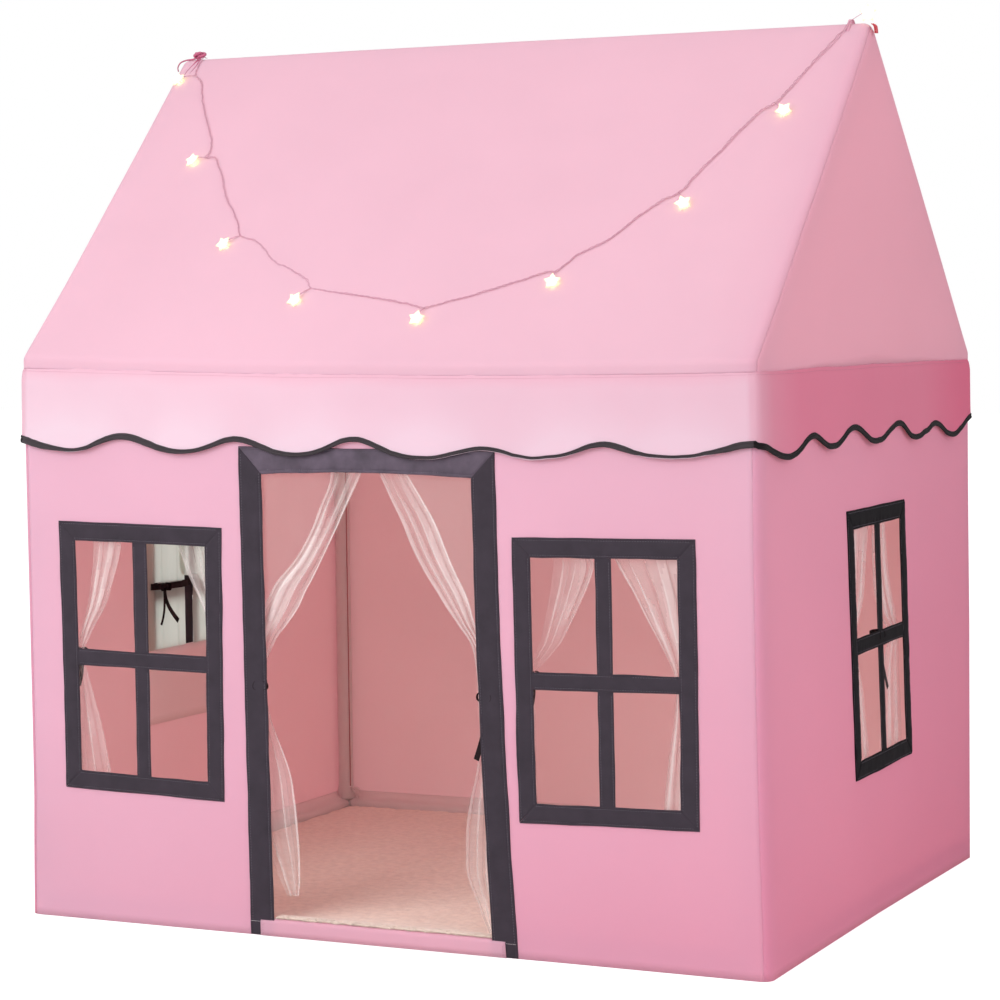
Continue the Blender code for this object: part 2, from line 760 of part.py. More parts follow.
def ribbon_end(knot_along, top, layer, shift):
    """One hanging end of a ribbon, from the middle of its knot."""
    shape = bmesh.new()
    line = []
    for share in (0, 0.5, 1):
        for edge in (-RIBBON_WIDTH / 4, RIBBON_WIDTH / 4):
            along = knot_along + edge + shift * share * share
            line.append(shape.verts.new((along, layer, top - RIBBON_TAIL * share)))
    for start in (0, 2):
        shape.faces.new((line[start], line[start + 1], line[start + 3], line[start + 2]))
    return thicken(shape, (0, RIBBON_CLOTH, 0))


def build_ribbon_tie(name, shares, side):
    """A ribbon round a curtain's waist, sewn to the wall, with its knot and two ends."""
    waist = [row for row in shares if row[3] == min(other[3] for other in shares if other[3] > 0)]
    middle = DOOR_OPENING_TOP * (waist[0][0] + waist[1][0]) / 2
    along = DOOR_X + side * waist[0][1] * DOOR_OPENING_HALF
    half_along = waist[0][2] * DOOR_OPENING_HALF + RIBBON_SLACK + SHEER_CLOTH
    half_inward = waist[0][3] * FOLD_DEPTH + SHEER_CLOTH + RIBBON_SLACK
    low = middle - RIBBON_WIDTH / 2
    high = middle + RIBBON_WIDTH / 2
    face = CURTAIN_DEPTH - half_inward - RIBBON_CLOTH / 2
    band = oval_band((along, CURTAIN_DEPTH), half_along, half_inward, RIBBON_CLOTH, low, high)
    part = add_object(name, place_shape(band, on_front), "dark_ribbon")
    tab = block_shape(
        (along + side * RIBBON_WIDTH / 2 - RIBBON_WIDTH / 3, CLOTH + GAP, low + GAP),
        (along + side * RIBBON_WIDTH / 2 + RIBBON_WIDTH / 3, face, high - GAP))
    combine(part, add_object("tab", place_shape(tab, on_front), "dark_ribbon"), "UNION")
    knot_along = along - side * half_along / 2
    front = CLOTH + 2 * RIBBON_CLOTH
    knot = block_shape(
        (knot_along - RIBBON_KNOT / 2, front, low - GAP), (knot_along + RIBBON_KNOT / 2, face, high + GAP))
    combine(part, add_object("knot", place_shape(knot, on_front), "dark_ribbon"), "UNION")
    for layer, shift in ((front + GAP, 0), (front + GAP + RIBBON_CLOTH * 3 / 2, -side * RIBBON_SPLAY)):
        tail = ribbon_end(knot_along, middle, layer, shift)
        combine(part, add_object("tail", place_shape(tail, on_front), "dark_ribbon"), "UNION")


def build_mat():
    """The plush mat that fills the floor inside the base tubes."""
    half_x = POST_X - SOCKET_RADIUS - GAP
    half_y = POST_Y - SOCKET_RADIUS - GAP
    outline = []
    for quarter, (sx, sy) in enumerate(((1, 1), (-1, 1), (-1, -1), (1, -1))):
        for step in range(CORNER_STEPS + 1):
            angle = math.pi / 2 * (quarter + step / CORNER_STEPS)
            outline.append((
                sx * (half_x - MAT_CORNER) + MAT_CORNER * math.cos(angle),
                sy * (half_y - MAT_CORNER) + MAT_CORNER * math.sin(angle)))
    shape = bmesh.new()
    shape.faces.new([shape.verts.new((x, y, 0)) for x, y in outline])
    thicken(shape, (0, 0, MAT_THICKNESS))
    rim = [edge for edge in shape.edges if all(vertex.co.z > MAT_THICKNESS / 2 for vertex in edge.verts)]
    bmesh.ops.bevel(
        shape, geom=rim, offset=MAT_EDGE, segments=BEVEL_STEPS, profile=BEVEL_PROFILE, affect="EDGES")
    soften(add_object("floor_mat", shape, "plush"))


def slope_point(x, up_slope, height, side):
    """A point at a height over the roof's face; side is -1 on the front slope and 1 on the back."""
    from_bend = up_slope - INSET * math.tan(NOMINAL_SLOPE / 2)
    out = POST_Y + (INSET + height) * math.sin(SLOPE) - from_bend * math.cos(SLOPE)
    up = EAVE_Z + (INSET + height) * math.cos(SLOPE) + from_bend * math.sin(SLOPE)
    return Vector((x, side * out, up))


def smooth_line(points, steps):
    """Points of one smooth curve through the given points."""
    line = []
    padded = [2 * points[0] - points[1], *points, 2 * points[-1] - points[-2]]
    for before, first, second, after in zip(padded, padded[1:], padded[2:], padded[3:]):
        for step in range(steps):
            t = step / steps
            line.append(0.5 * (
                2 * first + (second - before) * t
                + (2 * before - 5 * first + 4 * second - after) * t * t
                + (3 * first - before - 3 * second + after) * t * t * t))
    line.append(points[-1])
    return line


def cord_route():
    """The light string's own points, from the battery box over the ridge and along the front."""
    lie = CORD_RADIUS + GAP
    crest = RIDGE_HEIGHT + LOOP_CLOTH + 3 * GAP + CORD_RADIUS
    start = slope_point(BOX_X, BOX_UP_SLOPE + GAP, lie, 1)
    back = [start, *(slope_point(x, up, lie, 1) for x, up in LEAD_ROUTE)]
    loop_x = WIDTH / 2 - LOOP_INSET
    over = [Vector((loop_x, y, crest)) for y in (LOOP_WIDTH, 0, -LOOP_WIDTH)]
    front = [slope_point(x, up, lie, -1) for x, up in SWAG_ROUTE]
    end = [Vector((-loop_x, y, crest)) for y in (-LOOP_WIDTH, LOOP_WIDTH / 2)]
    return [*back, *over, *front, *end]


def star_shape(centre, across, up, normal):
    """A five-pointed star slab in the plane of across and up."""
    shape = bmesh.new()
    outline = []
    for step in range(2 * STAR_POINTS):
        angle = math.pi / 2 + math.pi * step / STAR_POINTS
        radius = STAR_VALLEY if step % 2 else STAR_RADIUS
        place = centre + radius * (math.cos(angle) * across + math.sin(angle) * up)
        outline.append(shape.verts.new(place - normal * STAR_THICKNESS / 2))
    shape.faces.new(outline)
    return thicken(shape, normal * STAR_THICKNESS)


def build_light_string():
    """The thin cord with a moulded star lamp hanging at each place."""
    points = smooth_line(cord_route(), CORD_STEPS)
    curve = bpy.data.curves.new("light_string", "CURVE")
    curve.dimensions = "3D"
    curve.bevel_depth = CORD_RADIUS
    curve.bevel_resolution = 2
    curve.use_fill_caps = True
    spline = curve.splines.new("POLY")
    spline.points.add(len(points) - 1)
    for point, place in zip(spline.points, points):
        point.co = (*place, 1)
    part = bpy.data.objects.new("light_string", curve)
    bpy.context.scene.collection.objects.link(part)
    graph = bpy.context.evaluated_depsgraph_get()
    tube = bmesh.new()
    tube.from_mesh(bpy.data.meshes.new_from_object(part.evaluated_get(graph)))
    bpy.data.objects.remove(part, do_unlink=True)
    bmesh.ops.remove_doubles(tube, verts=tube.verts, dist=WELD)
    part = add_object("light_string", tube, "clear_cord")
    normal = Vector((0, -math.sin(SLOPE), math.cos(SLOPE)))
    lamp_height = GAP + STAR_THICKNESS / 2
    for place, side in STAR_PLACES:
        before = Vector(SWAG_ROUTE[place - 1])
        here = Vector(SWAG_ROUTE[place])
        after = Vector(SWAG_ROUTE[place + 1])
        run = (after - before).normalized()
        hang = Vector((run.y, -run.x)) * -side
        if side < 0:
            hang = Vector((-1, 0))
        centre_2d = here + hang * STAR_DROP
        centre = slope_point(centre_2d.x, centre_2d.y, lamp_height, -1)
        root = slope_point(here.x, here.y, CORD_RADIUS + GAP, -1)
        lead = rod_shape(root, centre - root, (centre - root).length, CORD_RADIUS, LEAD_SIDES)
        combine(part, add_object("drop", lead, "clear_cord"), "UNION")
        point_up = root - centre
        point_up = (point_up - point_up.dot(normal) * normal).normalized()
        lamp = star_shape(centre, point_up.cross(normal).normalized(), point_up, normal)
        combine(part, add_object("lamp", lamp, "clear_cord"), "UNION")
    # The last lamp stands on the ridge beside its loop
    loop_x = WIDTH / 2 - LOOP_INSET
    crest = RIDGE_HEIGHT + LOOP_CLOTH + 3 * GAP + CORD_RADIUS
    root = Vector((loop_x, -LOOP_WIDTH, crest))
    centre = Vector((loop_x + STAR_DROP, 0, RIDGE_HEIGHT + GAP + STAR_RADIUS))
    lead = rod_shape(root, centre - root, (centre - root).length, CORD_RADIUS, LEAD_SIDES)
    combine(part, add_object("drop", lead, "clear_cord"), "UNION")
    lamp = star_shape(centre, Vector((1, 0, 0)), Vector((0, 0, 1)), Vector((0, 1, 0)))
    combine(part, add_object("lamp", lamp, "clear_cord"), "UNION")


def build_ridge_loops():
    """The two sewn loops on the ridge that the light string passes through."""
    for side, sign in (("left", -1), ("right", 1)):
        shape = bmesh.new()
        rings = []
        outer = LOOP_RADIUS / math.cos(math.pi / ROUND_SIDES)
        inner = outer - LOOP_CLOTH
        centre = Vector((sign * (WIDTH / 2 - LOOP_INSET), 0, RIDGE_HEIGHT + GAP + LOOP_RADIUS))
        for step in range(ROUND_SIDES):
            angle = math.tau * (step + 0.5) / ROUND_SIDES
            spoke = Vector((math.cos(angle), 0, math.sin(angle)))
            half = Vector((0, LOOP_WIDTH / 2, 0))
            rings.append([
                shape.verts.new(centre + spoke * inner - half),
                shape.verts.new(centre + spoke * outer - half),
                shape.verts.new(centre + spoke * outer + half),
                shape.verts.new(centre + spoke * inner + half),
            ])
        skin(shape, rings, True)
        soften(add_object(f"ridge_loop_{side}", shape, "pink_cloth"))


def on_box(down, across, height):
    """From the battery box's axes, down the back slope, across it and out from it, into the tent's."""
    return slope_point(BOX_X + across, BOX_UP_SLOPE - down, GAP + height, 1)


def box_part(name, low, high, finish):
    """A block in the battery box's own axes."""
    return add_object(name, place_shape(block_shape(low, high), on_box), finish)


def build_battery_box():
    """The lamps' battery box on the back slope, with its cover, switch and cells."""
    half = BOX_WIDTH / 2
    shape = block_shape((0, -half, 0), (BOX_LENGTH, half, BOX_HEIGHT))
    corners = [edge for edge in shape.edges if abs(edge.verts[0].co.z - edge.verts[1].co.z) > BOX_HEIGHT / 2]
    bmesh.ops.bevel(
        shape, geom=corners, offset=BOX_BEVEL, segments=BEVEL_STEPS, profile=BEVEL_PROFILE, affect="EDGES")
    box = add_object("battery_box", place_shape(shape, on_box), "white_moulding")
    inner = half - BOX_WALL
    groove = inner + GROOVE_DEPTH
    groove_top = GROOVE_FLOOR + GROOVE_HEIGHT
    cavity_end = BOX_LENGTH - BOX_WALL
    cuts = (
        ((BOX_HEAD, -inner, BOX_WALL), (cavity_end, inner, BOX_HEIGHT + OVERRUN)),
        ((BOX_HEAD, -groove, GROOVE_FLOOR), (BOX_LENGTH + OVERRUN, groove, groove_top)),
        ((cavity_end - BOX_WALL, -inner, GROOVE_FLOOR + GROOVE_HEIGHT / 2),
         (BOX_LENGTH + OVERRUN, inner, BOX_HEIGHT + OVERRUN)),
    )
    for low, high in cuts:
        combine(box, box_part("cut", low, high, "white_moulding"), "DIFFERENCE")
    slot_start = (BOX_HEAD - SWITCH_LENGTH - SWITCH_TRAVEL) / 2 - SWITCH_END_ROOM
    slot_end = slot_start + SWITCH_LENGTH + SWITCH_TRAVEL + 2 * SWITCH_END_ROOM
    slot_half = SWITCH_WIDTH / 2 + GAP
    slot_floor = BOX_HEIGHT - SWITCH_SLOT_DEPTH
    slot = box_part("slot", (slot_start, -slot_half, slot_floor), (slot_end, slot_half, BOX_HEIGHT + OVERRUN),
                    "white_moulding")
    combine(box, slot, "DIFFERENCE")
    switch_start = slot_start + SWITCH_END_ROOM
    box_part(
        "battery_switch",
        (switch_start, -SWITCH_WIDTH / 2, slot_floor + GAP),
        (switch_start + SWITCH_LENGTH, SWITCH_WIDTH / 2, BOX_HEIGHT + SWITCH_RISE), "dark_ribbon")

    # The cover is a plate whose edges run in the grooves, with grip ridges near its free end
    tongue = groove - GAP
    plate = inner - GAP
    tongue_low = GROOVE_FLOOR + GAP
    tongue_high = groove_top - GAP
    cover_start = BOX_HEAD + GAP
    outline = (
        (-tongue, tongue_low), (tongue, tongue_low), (tongue, tongue_high), (plate, tongue_high),
        (plate, BOX_HEIGHT), (-plate, BOX_HEIGHT), (-plate, tongue_high), (-tongue, tongue_high),
    )
    cover = bmesh.new()
    cover.faces.new([cover.verts.new((cover_start, across, up)) for across, up in outline])
    thicken(cover, (BOX_LENGTH - cover_start, 0, 0))
    part = add_object("battery_cover", place_shape(cover, on_box), "white_moulding")
    for ridge in range(GRIP_RIDGES):
        start = BOX_LENGTH - (ridge + 2) * GRIP_PITCH
        ridge_top = BOX_HEIGHT + GRIP_RIDGE_SIZE / 2
        grip = box_part(
            "grip", (start, -plate / 2, tongue_high), (start + GRIP_RIDGE_SIZE, plate / 2, ridge_top),
            "white_moulding")
        combine(part, grip, "UNION")

    for number, sign in (("one", -1), ("two", 1)):
        centre = sign * (CELL_RADIUS + GAP)
        height = BOX_WALL + GAP + CELL_RADIUS
        start = BOX_HEAD + GAP
        can = rod_shape(Vector((start, centre, height)), Vector((1, 0, 0)), CELL_LENGTH, CELL_RADIUS)
        cell = add_object(f"battery_cell_{number}", place_shape(can, on_box), "cell_jacket")
        tip_start = Vector((start + CELL_LENGTH - CELL_TIP, centre, height))
        tip = rod_shape(tip_start, Vector((1, 0, 0)), 2 * CELL_TIP, CELL_TIP_RADIUS, CELL_TIP_SIDES)
        combine(cell, add_object("tip", place_shape(tip, on_box), "cell_jacket"), "UNION")


def main():
    """Build every piece of the tent."""
    clear_objects()
    build_frame()
    build_roof()
    build_front_and_back_walls()
    left_heights = LEFT_WINDOW_Z - LEFT_SILL_DROP, window_hole_heights(LEFT_WINDOW_Z)[1]
    build_side_wall("left_wall", on_left, LEFT_WINDOW_Y, left_heights)
    build_side_wall("right_wall", on_right, RIGHT_WINDOW_Y, window_hole_heights(RIGHT_WINDOW_Z))
    build_valance()
    build_door_trim_and_threshold()
    windows = (
        ("front_left", on_front, FRONT_LEFT_WINDOW_X, FRONT_WINDOW_Z),
        ("front_right", on_front, FRONT_RIGHT_WINDOW_X, FRONT_WINDOW_Z),
        ("left", on_left, LEFT_WINDOW_Y, LEFT_WINDOW_Z),
        ("right", on_right, RIGHT_WINDOW_Y, RIGHT_WINDOW_Z),
    )
    for name, place, along, up in windows:
        build_window_trim(f"window_trim_{name}", place, along, up)
        build_window_curtains(f"window_curtains_{name}", place, along, up)
    build_door_curtains()
    build_ribbon_tie("ribbon_tie_left", LEFT_CURTAIN_SHARES, -1)
    build_ribbon_tie("ribbon_tie_right", RIGHT_CURTAIN_SHARES, 1)
    build_mat()
    build_ridge_loops()
    build_light_string()
    build_battery_box()


main()
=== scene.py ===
"""A child's cloth play tent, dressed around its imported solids.

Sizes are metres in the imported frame: the floor is z = 0 and the door faces -Y.
"""
import math
import random

import bmesh
import bpy
import numpy as np
from mathutils import Matrix, Vector, noise


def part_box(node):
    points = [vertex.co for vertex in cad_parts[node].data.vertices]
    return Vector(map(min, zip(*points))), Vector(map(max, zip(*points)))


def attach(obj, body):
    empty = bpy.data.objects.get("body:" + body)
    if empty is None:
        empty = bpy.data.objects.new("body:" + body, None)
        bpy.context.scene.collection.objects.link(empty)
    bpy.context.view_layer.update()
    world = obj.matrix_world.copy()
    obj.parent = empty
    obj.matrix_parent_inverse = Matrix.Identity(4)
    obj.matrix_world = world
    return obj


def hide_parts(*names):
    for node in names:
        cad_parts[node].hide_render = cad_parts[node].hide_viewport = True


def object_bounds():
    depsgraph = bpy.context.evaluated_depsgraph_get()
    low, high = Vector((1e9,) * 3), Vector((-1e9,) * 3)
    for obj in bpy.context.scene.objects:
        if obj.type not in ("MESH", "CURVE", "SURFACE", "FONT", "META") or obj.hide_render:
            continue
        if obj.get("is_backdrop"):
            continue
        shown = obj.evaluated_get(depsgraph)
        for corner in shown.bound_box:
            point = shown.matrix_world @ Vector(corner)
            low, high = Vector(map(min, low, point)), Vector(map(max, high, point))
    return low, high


bl_info = {
    "name": "Play Tent",
    "version": (1, 0, 0),
    "blender": (4, 5, 0),
    "location": "3D View > Sidebar > Play Tent",
    "description": "Dresses a cloth play tent: walls, roof, valance, trims, curtains, mat and star lights",
    "category": "Add Mesh",
}

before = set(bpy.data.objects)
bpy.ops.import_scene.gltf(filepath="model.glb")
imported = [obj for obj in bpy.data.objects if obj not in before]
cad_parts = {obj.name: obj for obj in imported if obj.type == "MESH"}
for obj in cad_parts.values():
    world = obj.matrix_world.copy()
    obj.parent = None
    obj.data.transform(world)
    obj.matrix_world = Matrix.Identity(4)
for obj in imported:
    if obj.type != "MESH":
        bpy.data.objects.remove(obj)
CAD_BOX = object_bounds()


def middle(node):
    """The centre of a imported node's box."""
    low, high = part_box(node)
    return (low + high) / 2


# Driving sizes, read from the frame
HALF_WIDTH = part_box("right_wall")[1].x
HALF_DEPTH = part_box("back_wall")[1].y
POST_X = middle("corner_post_back_right").x
POST_Y = middle("corner_post_back_right").y
ROLL = HALF_WIDTH - POST_X
EAVE_Z = middle("eave_pole_front").z
RIDGE_Z = middle("ridge_pole").z
SEAM_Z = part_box("roof_front")[0].z
RIDGE_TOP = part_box("roof_front")[1].z
SLOPE = math.atan2(RIDGE_Z - EAVE_Z, POST_Y)
ROOF_LENGTH = math.hypot(RIDGE_Z - EAVE_Z, POST_Y)
VALANCE_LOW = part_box("valance")[0].z
DOOR_LOW, DOOR_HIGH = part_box("door_trim")
DOOR_CENTRE = (DOOR_HIGH.x + DOOR_LOW.x) / 2
CLEARANCE = 0.0003
LEFT_SILL = middle("window_trim_left").z - 0.092

# Camera, as fitted to the photograph
CAMERA_PLACE = (1.98745, -4.22472, 0.92413)
CAMERA_AIM = (-0.42999904, 0.90052876, -0.06441096)
CAMERA_ROLL = math.radians(-0.693)
CAMERA_LENS = 104.92
SENSOR = 36.0

# Seams round the rolled corners: how far the front and back cloths and the roof reach round
CORNER_ROLL = math.radians(24)
ROOF_ROLL = math.radians(58)
QUARTER = math.pi / 2
SEAM_DIP = 0.0008
SEAM_REACH = 0.004
CLOTH_PITCH = 0.014
WALL_HEAD = 0.004
WALL_TUCK = 0.0012
TUCK_REACH = 0.04
GABLE_ROWS = 26

# The close cloth sewn round the left window inside; its colour is painted light, for the light that the wall
# lets through
FACING_REACH = 0.012
FACING_DEPTH = 0.0021
FACING_CLOTH = 0.0006

# Valance edge
WAVES_FRONT = 6
WAVES_SIDE = 5
WAVE_HEIGHT = 0.025
CREST_SLACK = 0.008
VALANCE_TAPE = 0.0125
VALANCE_ROWS = 16
VALANCE_HANG = 0.0024
VALANCE_SWING = 0.0045

# Door and windows
DOOR_BORDER = 0.040
WINDOW_BORDER = 0.0285
WINDOW_BAR = 0.025
OPENING_LAP = 0.006
TRIM_THICK = 0.0016
TRIM_PITCH = 0.0019
TRIM_SWAY = 0.0012
TRIM_STITCH = 0.0040
DOOR_SEAM = 0.0042
WINDOW_SEAM = 0.0036
BAR_SEAM = 0.0032
BAR_LAP = 0.004
DOOR_ARCH = 0.005
DOOR_HALF = (DOOR_HIGH.x - DOOR_LOW.x) / 2 - DOOR_BORDER
DOOR_TOP = DOOR_HIGH.z - DOOR_BORDER
# Each window's name, the wall that it is in and the axis along that wall
WINDOWS = (
    ("front_left", "front", 0), ("front_right", "front", 0), ("left", "left", 1), ("right", "right", 1))

# Light string, as its solid lies: x, and the distance up the slope from the eave
CORD_RADIUS = 0.0013
LOOP_CLOTH = 0.0015
LOOP_INSET = 0.034
LOOP_WIDTH = 0.008
LEAD_ROUTE = (
    (0.560, 0.3953), (0.560, 0.410), (0.561, 0.440), (0.566, 0.500), (0.571, 0.570), (0.571, 0.640))
SWAG_ROUTE = (
    (0.560, 0.684), (0.549, 0.659), (0.531, 0.621), (0.511, 0.573), (0.4906, 0.530), (0.472, 0.511),
    (0.450, 0.472), (0.431, 0.428), (0.410, 0.389), (0.390, 0.342), (0.365, 0.324), (0.341, 0.297),
    (0.319, 0.264), (0.289, 0.233), (0.262, 0.213), (0.243, 0.184), (0.225, 0.1815), (0.190, 0.167),
    (0.148, 0.1475), (0.090, 0.126), (0.053, 0.113), (0.034, 0.119), (-0.005, 0.128), (-0.044, 0.137),
    (-0.088, 0.1445), (-0.134, 0.1535), (-0.154, 0.157), (-0.165, 0.172), (-0.181, 0.186), (-0.205, 0.1996),
    (-0.235, 0.2136), (-0.254, 0.229), (-0.273, 0.2496), (-0.296, 0.265), (-0.3234, 0.275), (-0.336, 0.299),
    (-0.353, 0.324), (-0.376, 0.353), (-0.396, 0.382), (-0.411, 0.411), (-0.430, 0.441), (-0.444, 0.457),
    (-0.4585, 0.4575), (-0.4575, 0.472), (-0.4675, 0.501), (-0.488, 0.535), (-0.511, 0.574),
    (-0.531, 0.613), (-0.549, 0.648), (-0.5635, 0.6625), (-0.568, 0.684))
# Where each lamp's leads leave the string, and the lamp's middle
LAMP_PLACES = (
    (4, 0.5109, 0.5075), (9, 0.405, 0.3148), (15, 0.2452, 0.1584), (20, 0.0507, 0.087), (26, -0.1686, 0.1287),
    (34, -0.3426, 0.2525), (42, -0.4795, 0.4478), (49, -0.590, 0.6484))
LAMP_DROP = 0.026
LAMP_RADIUS = 0.0145
LAMP_VALLEY = 0.0072
LAMP_THICK = 0.0066
LAMP_LIFT = 0.0035
WIRE_RADIUS = 0.00056
WIRE_TWIST = 0.020
CORD_STEP = 0.0028

# Door curtains: height, inner and outer edge of each row, as shares of the opening, and how deep
# the folds are, as a share of their full depth
DOOR_CURTAINS = {
    "left": (
        (1.035, -0.04, 0.27, 0.2), (1.01, 0.011, 0.307, 0.4), (0.979, 0.079, 0.342, 0.7),
        (0.932, 0.183, 0.435, 0.9), (0.886, 0.28, 0.519, 1.0), (0.841, 0.38, 0.625, 1.0),
        (0.806, 0.458, 0.735, 1.0), (0.775, 0.528, 0.856, 1.0), (0.752, 0.589, 0.926, 0.9),
        (0.713, 0.676, 1.01, 0.9), (0.676, 0.795, 1.07, 0.8), (0.648, 0.892, 1.10, 0.7),
        (0.60, 0.985, 1.12, 0.5), (0.558, 1.005, 1.11, 0.35), (0.532, 1.005, 1.11, 0.35),
        (0.469, 0.975, 1.13, 0.7), (0.413, 0.889, 1.15, 0.9), (0.349, 0.791, 1.15, 1.0),
        (0.292, 0.761, 1.15, 1.0), (0.237, 0.743, 1.12, 1.0), (0.183, 0.739, 1.04, 1.0),
        (0.150, 0.74, 0.98, 1.0), (0.118, 0.745, 0.92, 0.9), (0.088, 0.762, 0.865, 0.7)),
    "right": (
        (1.035, 0.08, 0.36, 0.2), (1.005, 0.156, 0.421, 0.4), (0.959, 0.236, 0.529, 0.7),
        (0.905, 0.343, 0.654, 0.9), (0.853, 0.44, 0.75, 1.0), (0.799, 0.555, 0.84, 1.0),
        (0.748, 0.688, 0.94, 0.9), (0.694, 0.838, 1.0, 0.8), (0.650, 0.96, 1.07, 0.6),
        (0.60, 1.0, 1.12, 0.5), (0.558, 1.01, 1.12, 0.35), (0.532, 1.01, 1.12, 0.35),
        (0.44, 1.0, 1.14, 0.6), (0.375, 0.946, 1.15, 0.8), (0.32, 0.884, 1.15, 1.0),
        (0.267, 0.835, 1.15, 1.0), (0.212, 0.818, 1.13, 1.0), (0.180, 0.814, 1.12, 1.0),
        (0.158, 0.827, 1.11, 1.0), (0.105, 0.898, 1.10, 0.9), (0.07, 0.943, 1.08, 0.8),
        (0.045, 0.98, 1.07, 0.6)),
}
# Window curtains, in the same way, with heights counted from the window's middle
WINDOW_CURTAINS = {
    ("front_left", -1): (
        (0.56, 0.29, 0.71, 0.2), (0.50, 0.29, 0.71, 0.5), (0.36, 0.43, 0.77, 0.9), (0.22, 0.60, 0.86, 1.0),
        (0.12, 0.80, 0.97, 0.8), (0.03, 0.92, 1.06, 0.4), (-0.02, 0.92, 1.06, 0.35), (-0.12, 0.86, 1.10, 0.7),
        (-0.30, 0.70, 1.14, 1.0), (-0.53, 0.56, 1.14, 1.0)),
    ("front_left", 1): (
        (0.56, 0.58, 1.06, 0.2), (0.50, 0.58, 1.06, 0.5), (0.40, 0.68, 1.08, 0.8), (0.25, 0.91, 1.14, 0.9),
        (0.15, 1.02, 1.16, 0.9), (0.03, 1.05, 1.16, 0.4), (-0.02, 1.05, 1.16, 0.35), (-0.25, 1.04, 1.24, 0.8),
        (-0.53, 0.97, 1.18, 1.0)),
    ("front_right", -1): (
        (0.56, 0.12, 0.66, 0.2), (0.50, 0.12, 0.66, 0.5), (0.42, 0.17, 0.69, 0.9), (0.18, 0.55, 0.85, 1.0),
        (0.11, 0.72, 0.95, 0.9), (0.03, 0.95, 1.09, 0.4), (-0.02, 0.97, 1.09, 0.35), (-0.20, 0.99, 1.20, 0.8),
        (-0.53, 1.0, 1.22, 1.0)),
    ("front_right", 1): (
        (0.56, 0.16, 1.06, 0.2), (0.50, 0.18, 1.06, 0.5), (0.30, 0.52, 1.11, 0.9), (0.18, 0.73, 1.13, 1.0),
        (0.06, 0.93, 1.12, 0.6), (0.02, 0.97, 1.09, 0.35), (-0.02, 0.99, 1.09, 0.35),
        (-0.14, 0.935, 1.15, 0.8), (-0.29, 0.86, 1.16, 1.0), (-0.53, 0.76, 1.14, 1.0)),
    ("right", -1): (
        (0.56, 0.08, 1.02, 0.2), (0.50, 0.08, 1.02, 0.5), (0.30, 0.22, 1.06, 0.8), (0.15, 0.42, 1.10, 0.9),
        (0.05, 0.74, 1.10, 0.5), (-0.02, 0.80, 1.10, 0.4), (-0.20, 0.50, 1.12, 0.8),
        (-0.53, 0.30, 1.12, 1.0)),
    ("right", 1): (
        (0.56, 0.08, 0.66, 0.2), (0.50, 0.08, 0.66, 0.5), (0.25, 0.16, 0.80, 0.9), (0.10, 0.34, 1.0, 1.0),
        (0.03, 0.60, 1.08, 0.6), (-0.02, 0.66, 1.08, 0.5), (-0.20, 0.36, 1.12, 0.8),
        (-0.53, 0.22, 1.12, 1.0)),
    ("left", -1): (
        (0.56, -0.12, 1.30, 0.2), (0.50, -0.12, 1.30, 0.3), (0.25, -0.12, 1.30, 0.4),
        (0.09, -0.10, 1.30, 0.4), (0.05, 0.22, 1.30, 0.4), (-0.10, 0.22, 1.30, 0.4),
        (-0.26, 0.22, 1.30, 0.4)),
    ("left", 1): (
        (0.56, -0.02, 1.10, 0.2), (0.50, -0.02, 1.10, 0.3), (0.25, -0.02, 1.10, 0.4),
        (0.09, -0.02, 1.10, 0.4), (0.05, -0.02, 1.10, 0.4), (-0.10, -0.02, 1.10, 0.4),
        (-0.26, -0.02, 1.12, 0.4)),
}
CURTAIN_DEPTH = 0.013
CURTAIN_FOLD = 0.0058
CURTAIN_HEM = 0.0032
FRONT_SHIFT = 0.006
LEFT_SHIFT = 0.026
# The alpha of each level of voile, from the thinnest to the thickest
SHEER_LEVELS = (0.06, 0.11, 0.16, 0.22, 0.29, 0.36, 0.44, 0.53, 0.62)
